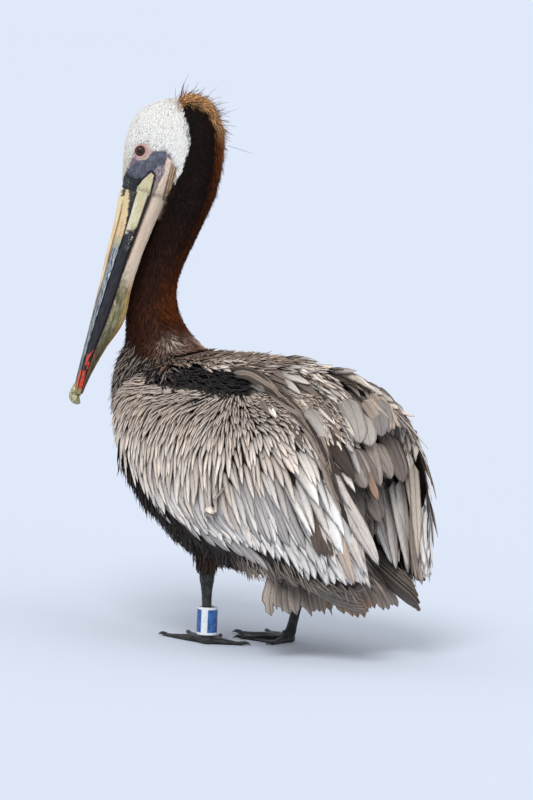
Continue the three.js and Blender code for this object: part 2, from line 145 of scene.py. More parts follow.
def points_of(mesh):
    """The mesh's points in the bird's frame."""
    places = np.zeros(len(mesh.vertices) * 3)
    mesh.vertices.foreach_get("co", places)
    return places.reshape(-1, 3) * 1000 - SHIFT


def normals_of(mesh):
    normals = np.zeros(len(mesh.vertices) * 3)
    mesh.vertices.foreach_get("normal", normals)
    return normals.reshape(-1, 3)


def move(mesh, points):
    mesh.vertices.foreach_set("co", metres(points).ravel())


def shade_smooth(mesh):
    mesh.polygons.foreach_set("use_smooth", np.ones(len(mesh.polygons), bool))


def paint(mesh, tint):
    """Colours at the points; a fourth number, if there is one, is how far across a vane each lies."""
    layer = mesh.color_attributes.new("tint", "FLOAT_COLOR", "POINT")
    rgba = tint if tint.shape[1] == 4 else np.concatenate([tint, np.zeros((len(tint), 1))], 1)
    layer.data.foreach_set("color", rgba.astype(np.float32).ravel())


def mesh_object(name, points, faces, tint, maps=None):
    """An object from points in the bird's frame and faces of three or four corners each."""
    mesh = bpy.data.meshes.new(name)
    corners = np.concatenate([f.ravel() for f in faces]).astype(np.int32)
    sizes = np.concatenate([np.full(len(f), f.shape[1]) for f in faces])
    mesh.vertices.add(len(points))
    mesh.vertices.foreach_set("co", metres(points).astype(np.float32).ravel())
    mesh.loops.add(len(corners))
    mesh.loops.foreach_set("vertex_index", corners)
    mesh.polygons.add(len(sizes))
    mesh.polygons.foreach_set("loop_start", (np.cumsum(sizes) - sizes).astype(np.int32))
    shade_smooth(mesh)
    mesh.update(calc_edges=True)
    for key, places in (maps or {}).items():
        layer = mesh.uv_layers.new(name=key)
        layer.data.foreach_set("uv", places[corners].astype(np.float32).ravel())
    paint(mesh, tint)
    return added(name, mesh)


def finished(piece, material, slot, *nodes):
    """The piece with its material, riding on the part and standing in for the nodes, if any."""
    piece.data.materials.append(material)
    if nodes:
        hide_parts(*nodes)
    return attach(piece, "root")


def ring_faces(rings, around):
    """Quads between closed rings of points, and a fan of triangles over each end."""
    row, column = np.meshgrid(np.arange(rings - 1), np.arange(around), indexing="ij")
    across = (column + 1) % around
    low = row * around
    quads = np.stack([low + column, low + across, low + around + across, low + around + column], -1)
    last = (rings - 1) * around
    near = [[0, i + 1, i] for i in range(1, around - 1)]
    far = [[last, last + i, last + i + 1] for i in range(1, around - 1)]
    return quads.reshape(-1, 4), np.array(near + far)


def lofted(name, rings, tint, maps):
    """One closed solid through rings of points, shape (rings, around, 3)."""
    count, around = rings.shape[:2]
    spokes = rings[count // 2] - rings[count // 2].mean(0)
    area = np.cross(spokes, np.roll(spokes, -1, axis=0)).sum(0)
    quads, ends = ring_faces(count, around)
    if area @ (rings[-1].mean(0) - rings[0].mean(0)) < 0:
        quads, ends = quads[:, ::-1], ends[:, ::-1]
    return mesh_object(name, rings.reshape(-1, 3), [quads, ends], tint, maps)


def flowing(rows, places):
    """Rows interpolated smoothly at places of their first column."""
    rows = np.asarray(rows, float)
    slopes = np.gradient(rows, rows[:, 0], axis=0)
    low = np.clip(np.searchsorted(rows[:, 0], places, side="right") - 1, 0, len(rows) - 2)
    width = (rows[low + 1, 0] - rows[low, 0])[:, None]
    t = (np.asarray(places)[:, None] - rows[low, :1]) / width
    bend = slopes[low] * width * (t ** 3 - 2 * t ** 2 + t) + slopes[low + 1] * width * (t ** 3 - t ** 2)
    return rows[low] * (2 * t ** 3 - 3 * t ** 2 + 1) + rows[low + 1] * (3 * t ** 2 - 2 * t ** 3) + bend


def joined(name, pieces):
    """All the pieces as one object of that name."""
    bpy.ops.object.select_all(action="DESELECT")
    for piece in pieces:
        piece.select_set(True)
    bpy.context.view_layer.objects.active = pieces[0]
    bpy.ops.object.join()
    pieces[0].name = name
    pieces[0].data.name = name
    return pieces[0]


def with_modifiers(piece):
    """The piece with its modifiers applied."""
    graph = bpy.context.evaluated_depsgraph_get()
    mesh = bpy.data.meshes.new_from_object(piece.evaluated_get(graph))
    old = piece.data
    piece.modifiers.clear()
    piece.data = mesh
    bpy.data.meshes.remove(old)
    return piece


# Places where the plumage lies flatter than the CAD form: middle, reach and depth.
EASED = [((-14, -168, 436), 32, 8), (from_head((0, -8, -134)), 26, 6), (from_head((0, -62, -158)), 26, 6)]


def eased(piece):
    """The piece drawn in a little at a few places."""
    points = points_of(piece.data)
    depth = sum(deep * np.exp(-((points - middle) ** 2).sum(1) / reach ** 2) for middle, reach, deep in EASED)
    move(piece.data, points - normals_of(piece.data) * depth[:, None])
    return piece


def remeshed(name, nodes, swell, voxel, smoothing):
    """One smooth closed skin round some CAD nodes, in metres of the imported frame."""
    bm = bmesh.new()
    for node in nodes:
        first = len(bm.verts)
        bm.from_mesh(NODES[node].data)
        bm.verts.ensure_lookup_table()
        for vert in bm.verts[first:]:
            vert.co += vert.normal * swell
    mesh = bpy.data.meshes.new(name)
    bm.to_mesh(mesh)
    bm.free()
    piece = added(name, mesh)
    remesh = piece.modifiers.new("remesh", "REMESH")
    remesh.mode = "VOXEL"
    remesh.voxel_size = voxel
    smooth = piece.modifiers.new("smooth", "SMOOTH")
    smooth.factor = 0.5
    smooth.iterations = smoothing
    return with_modifiers(piece)


# ------------------------------------------------------------------ camera, floor and light
CAMERA_AZIMUTH = 130  # degrees from the bird's front, round its left side
CAMERA_ELEVATION = 6
CAMERA_ROLL = 2.5
CAMERA_DISTANCE = 10000
VIEW_HEIGHT = 1120  # of the picture, at the bird
VIEW_CENTRE = (0, 342)  # across and up, from the bird's own origin
FLOOR_SIZE = 70  # metres
PALE = ink("dce4f3")  # the background and, a little darker, the floor
SKY = (0.98, 0.99, 1)
SKY_STRENGTH = 0.72


def towards(azimuth, elevation):
    """The direction of a camera or lamp, in degrees from the bird's front and from level."""
    azimuth, elevation = radians(azimuth), radians(elevation)
    return Vector((sin(azimuth) * cos(elevation), -cos(azimuth) * cos(elevation), sin(elevation)))


def add_camera():
    azimuth, roll = radians(CAMERA_AZIMUTH), radians(CAMERA_ROLL)
    level = Vector((cos(azimuth), sin(azimuth), 0))
    back = towards(CAMERA_AZIMUTH, CAMERA_ELEVATION)
    up = back.cross(level)
    target = np.array(level * VIEW_CENTRE[0] + up * VIEW_CENTRE[1])
    right = level * cos(roll) + up * sin(roll)
    camera = added("camera", bpy.data.cameras.new("camera"))
    camera.matrix_world = Matrix((right, up * cos(roll) - level * sin(roll), back)).transposed().to_4x4()
    camera.location = metres(target + np.array(back) * CAMERA_DISTANCE)
    camera.data.sensor_fit = "VERTICAL"
    camera.data.angle = 2 * atan(VIEW_HEIGHT / 2 / CAMERA_DISTANCE)
    camera.data.clip_end = 200
    bpy.context.scene.camera = camera


def add_sun(name, strength, softness, azimuth, elevation):
    """A soft lamp; its azimuth is measured like the camera's."""
    data = bpy.data.lights.new(name, "SUN")
    data.energy = strength
    data.angle = radians(softness)
    added(name, data).rotation_euler = towards(azimuth, elevation).to_track_quat("Z", "Y").to_euler()


def add_floor():
    material = new_material("floor")
    nodes = Nodes(material)
    shader = nodes.new("BsdfDiffuse")
    nodes.link(shader.outputs[0], nodes.output.inputs["Surface"])
    cloud = nodes.noise(nodes.place("Object"), 0.35, 3)
    nodes.link(nodes.blend(cloud, PALE * 0.9, PALE * 0.92), shader.inputs["Color"])
    half = FLOOR_SIZE / 2
    corners = [(-half, -half, 0), (half, -half, 0), (half, half, 0), (-half, half, 0)]
    mesh = bpy.data.meshes.new("floor")
    mesh.from_pydata(corners, [], [(0, 1, 2, 3)])
    mesh.materials.append(material)
    added("floor", mesh)


def add_world():
    """Soft light from all round, and a pale background where the camera or a gloss sees it."""
    world = bpy.data.worlds.new("studio")
    bpy.context.scene.world = world
    world.use_nodes = True
    tree = world.node_tree
    tree.nodes.clear()
    ray = tree.nodes.new("ShaderNodeLightPath")
    seen = ray.outputs["Is Camera Ray"]
    for kind in ("Is Glossy Ray", "Is Transmission Ray"):
        either = tree.nodes.new("ShaderNodeMath")
        either.operation = "ADD"
        either.use_clamp = True
        tree.links.new(seen, either.inputs[0])
        tree.links.new(ray.outputs[kind], either.inputs[1])
        seen = either.outputs[0]
    pick = tree.nodes.new("ShaderNodeMixShader")
    tree.links.new(seen, pick.inputs[0])
    for socket, colour, strength in ((1, SKY, SKY_STRENGTH), (2, PALE, 1)):
        background = tree.nodes.new("ShaderNodeBackground")
        background.inputs["Color"].default_value = (*colour, 1)
        background.inputs["Strength"].default_value = strength
        tree.links.new(background.outputs[0], pick.inputs[socket])
    output = tree.nodes.new("ShaderNodeOutputWorld")
    tree.links.new(pick.outputs[0], output.inputs["Surface"])


# ------------------------------------------------------------------ materials
BARB_GAP = 1.1
BARB_SLANT = 1.3  # along a vane for each millimetre across it
VANE_STREAKS = 0.24  # how much darker the darkest are
TUFT_STREAKS = 0.3


def new_material(name):
    material = bpy.data.materials.new(name)
    material.use_nodes = True
    material.node_tree.nodes.clear()
    return material


class Nodes:
    """Short names for the shader nodes that the materials are made of."""

    def __init__(self, material):
        self.tree = material.node_tree
        self.output = self.new("OutputMaterial")

    def new(self, kind):
        return self.tree.nodes.new("ShaderNode" + kind)

    def link(self, a, b):
        self.tree.links.new(a, b)

    def principled(self, roughness, specular, **fixed):
        shader = self.new("BsdfPrincipled")
        shader.inputs["Roughness"].default_value = roughness
        shader.inputs["Specular IOR Level"].default_value = specular
        for key, value in fixed.items():
            shader.inputs[key.replace("_", " ").title()].default_value = value
        self.link(shader.outputs[0], self.output.inputs["Surface"])
        return shader

    def place(self, kind, layer=""):
        if kind == "UV":
            node = self.new("UVMap")
            node.uv_map = layer
            return node.outputs[0]
        return self.new("TexCoord").outputs[kind]

    def attribute(self, name, output="Color"):
        node = self.new("Attribute")
        node.attribute_name = name
        return node.outputs[output]

    def stretched(self, place, scale):
        node = self.new("Mapping")
        node.inputs["Scale"].default_value = scale
        self.link(place, node.inputs["Vector"])
        return node.outputs[0]

    def noise(self, place, scale, detail):
        node = self.new("TexNoise")
        node.inputs["Scale"].default_value = scale
        node.inputs["Detail"].default_value = detail
        self.link(place, node.inputs["Vector"])
        return node.outputs["Fac"]

    def maths(self, operation, a, b=None):
        node = self.new("Math")
        node.operation = operation
        for socket, value in zip(node.inputs, (a, b)):
            if isinstance(value, (int, float)):
                socket.default_value = value
            elif value is not None:
                self.link(value, socket)
        return node.outputs[0]

    def curve(self, value, low, high, to_low=0.0, to_high=1.0):
        node = self.new("MapRange")
        node.interpolation_type = "SMOOTHSTEP"
        for key, number in zip(("From Min", "From Max", "To Min", "To Max"), (low, high, to_low, to_high)):
            node.inputs[key].default_value = number
        self.link(value, node.inputs["Value"])
        return node.outputs[0]

    def blend(self, amount, a, b, kind="MIX"):
        """a where the amount is 0 and b where it is 1; each is a colour or a link."""
        node = self.new("Mix")
        node.data_type = "RGBA"
        node.blend_type = kind
        for socket, value in ((node.inputs["Factor"], amount), (node.inputs[6], a), (node.inputs[7], b)):
            if isinstance(value, (int, float)):
                socket.default_value = value
            elif isinstance(value, (tuple, list, np.ndarray)):
                socket.default_value = (*value, 1)
            else:
                self.link(value, socket)
        return node.outputs[2]

    def tinted(self, shader, pattern, low, high, dark, light):
        """Gives the shader the points' tint, from dark to light times it as the pattern rises."""
        shade = self.blend(self.curve(pattern, low, high), (dark,) * 3, (light,) * 3)
        colour = self.blend(1.0, self.attribute("tint"), shade, "MULTIPLY")
        self.link(colour, shader.inputs["Base Color"])

    def bump(self, shader, height, strength, depth):
        node = self.new("Bump")
        node.inputs["Strength"].default_value = strength
        node.inputs["Distance"].default_value = depth
        self.link(height, node.inputs["Height"])
        self.link(node.outputs[0], shader.inputs["Normal"])


def vane_material(name, shaft=0.0, rim=0.4):
    """Feather vanes: the map "vane" holds millimetres across and along each vane."""
    material = new_material(name)
    nodes = Nodes(material)
    shader = nodes.principled(roughness=0.75, specular=0.25, sheen_weight=0.1, sheen_roughness=0.5)
    place = nodes.place("UV", "vane")
    split = nodes.new("SeparateXYZ")
    nodes.link(place, split.inputs[0])
    across = nodes.maths("ABSOLUTE", split.outputs[0])
    slanted = nodes.maths("ADD", nodes.maths("MULTIPLY", across, -BARB_SLANT), split.outputs[1])
    barb = nodes.maths("SINE", nodes.maths("MULTIPLY", slanted, 2 * pi / BARB_GAP))
    gather = nodes.noise(nodes.stretched(place, (0.9, 0.12, 1)), 1.0, 3)
    shade = nodes.curve(gather, 0.25, 0.75, 1 - VANE_STREAKS, 1 + VANE_STREAKS * 0.5)
    fine = nodes.maths("ADD", nodes.maths("MULTIPLY", barb, 0.05), shade)
    if shaft:
        line = nodes.curve(across, 0.25 * shaft, 0.7 * shaft, 0.35, 1)
        fine = nodes.maths("MULTIPLY", fine, line)
    border = nodes.curve(nodes.attribute("tint", "Alpha"), 0.78, 1.0, 1, rim)
    fine = nodes.maths("MULTIPLY", fine, border)
    grey = nodes.new("CombineColor")
    for socket in grey.inputs[:3]:
        nodes.link(fine, socket)
    colour = nodes.blend(1.0, nodes.attribute("tint"), grey.outputs[0], "MULTIPLY")
    nodes.link(colour, shader.inputs["Base Color"])
    height = nodes.maths("ADD", nodes.maths("MULTIPLY", barb, 0.3), gather)
    nodes.bump(shader, height, 0.5, 0.0004)
    return material


def tuft_material(name):
    """Hair-like tufts, their tint broken up by fine streaks."""
    material = new_material(name)
    nodes = Nodes(material)
    shader = nodes.principled(roughness=0.85, specular=0.15, sheen_weight=0.04, sheen_roughness=0.4)
    fleck = nodes.noise(nodes.place("Object"), 900, 2)
    nodes.tinted(shader, fleck, 0.3, 0.7, 1 - TUFT_STREAKS, 1 + TUFT_STREAKS * 0.6)
    nodes.bump(shader, fleck, 0.4, 0.0005)
    return material


# ------------------------------------------------------------------ the outer form of the plumage
FLESH = ("head", "neck_upper", "neck_lower", "trunk", "shank_left", "shank_right", "wing_left", "wing_right")
SOFT_VOXEL = 0.0044  # metres
SWELL = 0.0009  # metres, closes the cuts between nodes before they are remeshed
SOLID = 60  # thickness where no far side is found
SOFTENING = 4  # rounds, of the normals


def surface_of(meshes):
    """A search tree over several meshes, in the bird's frame."""
    points, faces = [], []
    for mesh in meshes:
        first = len(points)
        points += points_of(mesh).tolist()
        faces += [[first + i for i in polygon.vertices] for polygon in mesh.polygons]
    return BVHTree.FromPolygons(points, faces)


class Surface:
    """A closed mesh in the bird's frame, with soft normals and a search tree."""

    def __init__(self, mesh):
        self.points = points_of(mesh)
        count = len(mesh.polygons)
        loops = np.zeros(len(mesh.loops), np.int32)
        mesh.loops.foreach_get("vertex_index", loops)
        sizes = np.zeros(count, np.int32)
        mesh.polygons.foreach_get("loop_total", sizes)
        starts = np.cumsum(sizes) - sizes
        fourth = np.where(sizes > 3, starts + 3, starts + 2)
        self.faces = np.stack([loops[starts], loops[starts + 1], loops[starts + 2], loops[fourth]], 1)
        corners = self.points[self.faces]
        cross = np.cross(corners[:, 2] - corners[:, 0], corners[:, 3] - corners[:, 1])
        cross = np.where(sizes[:, None] > 3, cross, np.cross(
            corners[:, 1] - corners[:, 0], corners[:, 2] - corners[:, 0]))
        self.areas = np.linalg.norm(cross, axis=1) / 2
        self.normals = self.spread(cross)
        for _ in range(SOFTENING):
            self.normals = self.spread(self.normals[self.faces].sum(1))
        self.face_normals = unit(self.normals[self.faces].sum(1))
        self.centres = corners.mean(1)
        self.tree = BVHTree.FromPolygons(self.points.tolist(), self.faces.tolist())

    def spread(self, values):
        """Unit vectors at the points, from one vector for each face."""
        total = np.zeros_like(self.points)
        for corner in range(4):
            np.add.at(total, self.faces[:, corner], values)
        return unit(total)

    def nearest(self, places):
        """The closest places on the surface, and the soft normals there."""
        found = [self.tree.find_nearest(Vector(place)) for place in places]
        face = np.array([hit[2] for hit in found])
        return np.array([hit[0] for hit in found]), self.face_normals[face]

    def owners(self, nodes):
        """The index in nodes of the CAD node that lies nearest to each face."""
        meshes = [NODES[node].data for node in nodes]
        owner = [index for index, mesh in enumerate(meshes) for _ in mesh.polygons]
        tree = surface_of(meshes)
        near = [tree.find_nearest(Vector(place))[2] for place in self.centres]
        return np.array(owner)[near]

    def roots(self, count, weight, draw):
        """Evenly scattered places, more of them where the weight of a face is higher."""
        total = np.cumsum(self.areas * weight)
        face = np.searchsorted(total, (np.arange(count) + draw.uniform(0, 1, count)) / count * total[-1])
        face = np.minimum(face, len(total) - 1)
        a, b = draw.uniform(0, 1, (2, count, 1))
        corners = self.points[self.faces[face]]
        low = corners[:, 0] * (1 - a) + corners[:, 1] * a
        high = corners[:, 3] * (1 - a) + corners[:, 2] * a
        return low * (1 - b) + high * b, self.face_normals[face]

    def even_roots(self, tries, weight, spacing, lie, draw):
        """Places kept apart by at least the spacing across the lie and along it, in random order."""
        roots, normals = self.roots(tries, weight, draw)
        order = draw.permutation(tries)
        roots, normals = roots[order], normals[order]
        ways = tangent(lie(roots), normals)
        across, along = spacing(roots)
        cell = along.max()
        keys = (roots // cell).astype(int)
        table, kept = {}, []
        for i, key in enumerate(keys):
            near = [j for a in (-1, 0, 1) for b in (-1, 0, 1) for c in (-1, 0, 1)
                    for j in table.get((key[0] + a, key[1] + b, key[2] + c), ())]
            if near:
                gap = roots[near] - roots[i]
                ahead = gap @ ways[i]
                aside = (gap ** 2).sum(1) - ahead ** 2
                if ((ahead / along[i]) ** 2 + aside / across[i] ** 2 < 1).any():
                    continue
            table.setdefault(tuple(key), []).append(i)
            kept.append(i)
        return roots[kept], normals[kept]

    def exposed(self, room):
        """True of each face that has nothing in front of it within that distance."""
        hits = [self.tree.ray_cast(Vector(centre + normal * 1.5), Vector(normal), room)[0]
                for centre, normal in zip(self.centres, self.face_normals)]
        return np.array([hit is None for hit in hits])

    def open_to(self, way):
        """True of each face from which nothing of the body lies in that direction."""
        away = Vector(unit(np.array(way, float)))
        hits = [self.tree.ray_cast(Vector(place) + away * 2, away)[0] for place in self.centres]
        return np.array([hit is None for hit in hits])

    def thickness(self):
        """How thick the body is under each point, measured straight inwards."""
        inwards = [self.tree.ray_cast(Vector(point - normal * 0.2), Vector(-normal))[3]
                   for point, normal in zip(self.points, self.normals)]
        return np.array([SOLID if depth is None else depth for depth in inwards])


def tangent(vectors, normals):
    return unit(vectors - normals * dot(vectors, normals))


class Comb:
    """The lie of the feathers: directions given at a few places, blended between them."""

    def __init__(self, rows, one_sided=()):
        rows = np.array(rows, float)
        rows = np.concatenate([rows, rows * [-1, 1, 1, -1, 1, 1], np.reshape(one_sided, (-1, 6))])
        self.places = rows[:, :3]
        self.ways = unit(rows[:, 3:])

    def __call__(self, points):
        gap = ((points[:, None] - self.places) ** 2).sum(-1) + 60
        return unit((self.ways[None] / gap[..., None] ** 2).sum(1))


EDGE_PULL = 0.22  # how much a feather past an edge turns in, in strides
WIDEST = np.array([135, 320, 900])  # from the bird's own origin


def grown(surface, roots, normals, lengths, lie, steps, sway, draw, hug=1.0):
    """Lines of that many points which leave the roots, follow the lie and keep to the surface.

    A line that runs off an edge bends in a little. Returns the points and the normals along each line.
    """
    sideways = draw.normal(0, sway, (len(roots), 1))
    stride = (lengths / (steps - 1))[:, None]
    points, ups = [roots], [normals]
    way = None
    for _ in range(steps - 1):
        wanted = tangent(lie(points[-1]), ups[-1])
        wanted = unit(wanted + np.cross(ups[-1], wanted) * sideways)
        way = wanted if way is None else tangent(way * 0.5 + wanted * 0.5, ups[-1])
        ahead = points[-1] + way * stride
        found, up = surface.nearest(ahead)
        gap = np.linalg.norm(found - ahead, axis=1, keepdims=True)
        held = (dot(up, ups[-1]) > 0.72) & (gap < stride)
        pull = np.where(held, hug, np.minimum(1, EDGE_PULL * stride / (gap + 1e-6)))
        ahead = ahead + (found - ahead) * pull
        points.append(np.clip(ahead, -WIDEST, WIDEST))
        ups.append(np.where(held, unit(up * 0.7 + ups[-1]), ups[-1]))
    return np.stack(points, 1), np.stack(ups, 1)


# ------------------------------------------------------------------ vanes and tufts
PATCH = 0.003  # of one tuft on the baked map
TUFT = np.array([(-1, 0), (0, 1), (1, 0)], float)  # a section: across, and height in thicknesses
LEAF = np.array([(-1, 0), (0, 1), (1, 0), (0, -0.6)], float)
VANE = np.array([(-1, 0), (-0.5, 0.55), (-0.07, 0.8), (0.07, 1.3), (0.55, 0.55), (1, 0), (0.5, -0.45),
                 (-0.5, -0.45)], float)


def taper(t, rise, fall, point):
    """A vane's half width along its length, from 0 at the root to its most, and down to the tip."""
    return np.clip(t / rise, 0, 1) ** 0.6 * np.clip((1 - t) / (1 - fall), 0, 1) ** point


def vanes(name, lines, ups, half_width, section, thick, camber, tint, chart, edge=None):
    """One mesh of closed thin vanes along lines of shape (count, steps, 3).

    half_width is (count, steps), camber lowers the edges, tint is (count, steps, 3), edge is the
    colour at the rims, and chart is each root's place on the skin's unwrap.
    """
    count, steps = lines.shape[:2]
    around = len(section)
    way = unit(np.gradient(lines, axis=1))
    side = unit(np.cross(way, ups))
    up = unit(np.cross(side, way))
    across = section[:, 0][None, None, :, None]
    high = section[:, 1][None, None, :, None]
    half = half_width[:, :, None, None]
    thin = np.minimum(1, half / (0.35 * thick + 1e-6)) * thick
    points = (lines[:, :, None] + side[:, :, None] * across * half
              + up[:, :, None] * (high * thin - camber * half * across ** 2))
    strides = np.linalg.norm(np.diff(lines, axis=1), axis=2)
    along = np.concatenate([np.zeros((count, 1)), np.cumsum(strides, 1)], 1)
    colour = np.broadcast_to(tint[:, :, None], (count, steps, around, 3))
    if edge is not None:
        rim = (np.abs(across) ** 3) * np.ones((count, steps, 1, 1))
        colour = colour * (1 - rim) + np.asarray(edge).reshape(-1, 1, 1, 3) * rim
    flat = np.broadcast_to(section[:, 0][None, None], (count, steps, around))
    part = np.broadcast_to((along / along[:, -1:])[:, :, None], (count, steps, around))
    bake = np.stack([chart[:, None, None, 0] + PATCH * 0.5 * flat,
                     chart[:, None, None, 1] + PATCH * (part - 0.5)], -1)
    vane = np.stack([flat * half[..., 0], np.broadcast_to(along[:, :, None], flat.shape)], -1)
    quads, ends = ring_faces(steps, around)
    first = (np.arange(count) * steps * around)[:, None, None]
    faces = [(quads[None] + first).reshape(-1, 4), (ends[None] + first).reshape(-1, 3)]
    maps = {"OFBake": bake.reshape(-1, 2), "vane": vane.reshape(-1, 2)}
    tint = np.concatenate([colour, np.abs(flat)[..., None]], -1).reshape(-1, 4)
    return mesh_object(name, points.reshape(-1, 3), faces, tint, maps)


def lifted(lines, ups, depth, rise, power):
    """Lines moved along their normals: down by depth at the root, and up by rise at the tip."""
    t = np.linspace(0, 1, lines.shape[1])[None, :, None]
    depth, rise = (np.asarray(v, float).reshape(-1, 1, 1) for v in (depth, rise))
    return lines + ups * (rise * t ** power - depth * (1 - t) ** 1.3)


def varied(colour, draw, spread, count):
    """The colour once for each of count tufts, each a little lighter or darker."""
    return np.asarray(colour) * np.exp(draw.normal(0, spread, (count, 1)))


# ------------------------------------------------------------------ markings, for skin and coat alike
WHITE = ink("eeedea")
CREAM = ink("e8dfc8")
NIGHT = ink("1c100c")
CHESTNUT = ink("4e2816")
RUFOUS = ink("8f4a1c")
GOLD = ink("cfa273")
SOOT = ink("241b18")
UMBER = ink("3a2a22")
SILVER = ink("b3aeac")
SLATE = ink("77716f")
FACE_SKIN = ink("565966")
PINK = ink("c6a09c")
HORN_BLACK = ink("1c1c20")

# Outlines in the head's own axes: along the bill, and towards the crown.
HOOD_EDGE = [(-160, 3), (-146, -27), (-141, -38), (-127, -53), (-102, -69), (-87, -75.5), (-58, -76),
             (-44, -76), (-36, -75), (-24, -70), (-10, -64), (40, -60)]
BARE_SKIN = [(30, 4), (-6, 1), (-18, 0.5), (-32, -1.5), (-46, -4), (-56, -3), (-66, -7.5), (-72, -17),
             (-64, -29), (-69, -44), (-63, -56), (-51, -63), (-46, -71), (-29, -69), (-5, -66), (30, -64)]
GREY_SKIN = [(-20, 2), (-32, -5), (-42, -9), (-50, -24), (-63, -30), (-68, -46), (-53, -54), (-36, -52),
             (-40, -41), (-26, -26), (-17, -18), (-17, -6)]
PALE_STRIP = [(-60, -51), (-57, -59), (-40, -60.5), (-20, -60), (40, -61), (40, -46), (-4, -47.5),
              (-23, -49.8), (-39, -53), (-50, -50.5)]
RAMUS = [(-34, -35), (-30, -40), (-13, -40.5), (8, -40.5), (8, -22.5), (-8, -21.5), (-20, -26)]


def distance_in(outline, s, n):
    """How far inside a closed outline each place is; outside it is negative."""
    a = np.array(outline, float)
    b = np.roll(a, -1, axis=0)
    p = np.stack([s, n], -1)[:, None]
    edge = b - a
    t = np.clip(((p - a) * edge).sum(-1) / (edge ** 2).sum(-1), 0, 1)
    gap = np.linalg.norm(p - a - t[..., None] * edge, axis=-1).min(1)
    crosses = (a[:, 1] > p[..., 1]) != (b[:, 1] > p[..., 1])
    rise = np.where(edge[:, 1] == 0, 1e-9, edge[:, 1])
    left = p[..., 0] < a[:, 0] + (p[..., 1] - a[:, 1]) / rise * edge[:, 0]
    return np.where((crosses & left).sum(1) % 2 == 1, gap, -gap)


def is_hooded(points):
    """1 on the white head, 0 on the dark neck, with a ragged edge."""
    q = to_head(points)
    edge = along_line(HOOD_EDGE, q[:, 2])
    return step(-1.2, 1.2, q[:, 1] - edge - 1.5 + 1.0 * wobble(points, 9, 1)) * step(24, 14, q[:, 2])


def bareness(points):
    """1 on the bare skin of the face, 0 where feathers grow."""
    q = to_head(points)
    return step(-1.2, 0.8, distance_in(BARE_SKIN, q[:, 2], q[:, 1]) + 0.7 * wobble(points, 6, 2))


def nape(points, normals):
    """1 straight behind the neck's middle line, less to its sides; the line turns with the head."""
    turn = np.radians(HEAD_TURN) * step(440, 690, points[:, 2])
    back = np.stack([-np.sin(turn), np.cos(turn), 0 * turn], 1)
    flat = unit(normals * [1, 1, 0.35])
    top = 1.15 * normals[:, 2] * step(700, 735, points[:, 2])
    return np.maximum((flat * (back + [0, 0, 0.2])).sum(1), top)


def fringe(points, normals):
    """1 where the raised feathers of the nape grow, widest on top of the head."""
    return step(0.8, 0.95, nape(points, normals)) * step(600, 700, points[:, 2])


def neck_tint(points, normals):
    z = points[:, 2]
    blotch = wobble(points, 30, 3)
    rear = 0.2 + 0.8 * step(-0.55, 0.75, nape(points, normals))
    base = mix(NIGHT, CHESTNUT, np.clip((step(640, 430, z) * 0.95 + 0.08) * rear + 0.14 * blotch, 0, 1))
    base = mix(base, "7a5543", 0.6 * step(440, 405, z) * step(-205, -150, points[:, 1]))
    low = mix_number(0.72, 0.8, step(640, 690, z))
    ridge = step(0, 1, (nape(points, normals) + 0.04 * blotch - low) / (0.96 - low)) ** 1.25
    golden = step(700, 738, z) * step(0.25, 0.9, ridge)
    warm = mix(RUFOUS * 0.4, mix(RUFOUS * 0.62, GOLD, golden), step(620, 712, z))
    warm = mix(warm, RUFOUS * 0.85, step(540, 470, z))
    tint = mix(base, warm, ridge * step(425, 470, z) * mix_number(0.45, 1.0, step(560, 700, z)))
    offs = (points - [28 * side, -154, 416] for side in (1, -1))
    frost = sum(np.exp(-(off ** 2 / [330, 240, 400]).sum(1)) for off in offs)
    return mix(tint, "c8b6ab", np.clip(1.2 * frost, 0, 0.85) * step(-0.8, 0.4, wobble(points, 5, 15)))


def head_tint(points):
    q = to_head(points)
    creamy = step(-75, -20, q[:, 2]) * step(-25, 5, q[:, 1]) * 0.6
    return mix(WHITE, CREAM, creamy + 0.15 * step(0, 1, wobble(points, 22, 4)))


def streaks(q, wide, long, seed):
    """A pattern from 0 to 1 drawn out along the bill."""
    return step(-0.7, 0.7, wobble(q * [1 / wide, 1 / wide, 1 / long], 1.0, seed))


def ramus_cream(q):
    """The pale strip of the jaw, which runs from the gape onto the bill."""
    cream = mix("d3c9a6", "c3b892", streaks(q, 5, 16, 35))
    return mix(cream, "dcc0a8", 0.55 * step(38, 62, q[:, 2]) * streaks(q, 6, 20, 36))


def pouch_pink(q, points, v):
    """The pale side of the pouch, which begins on the cheek; darker along its top under the jaw, a painted
    shadow.
    """
    # Painted shadow: the darker colours along the pouch's top, under the jaw, darkest behind the bill's base.
    shade = mix("857768", "b3a792", step(-6, 40, q[:, 2]))
    pale = step(0.04, 0.3 - 0.1 * step(0, 60, q[:, 2]), v + 0.05 * wobble(points, 16, 43))
    tint = mix(shade, "d9c7b2", pale)
    return mix(tint, "cba99a", 0.4 * streaks(q, 9, 50, 44))


def eye_ring(s, n):
    """Distance from a place a little behind and below the eye, where the pink skin is widest."""
    return np.hypot((s - EYE[2] + 2.4) / 1.1, n - EYE[1] + 2.6)


def gape_folds(s, n, points):
    """From -1 to 1 across the folds of skin behind the gape, which run on into the pouch."""
    return np.sin((n + 0.05 * s) * 1.8 + 0.7 * wobble(points, 15, 12))


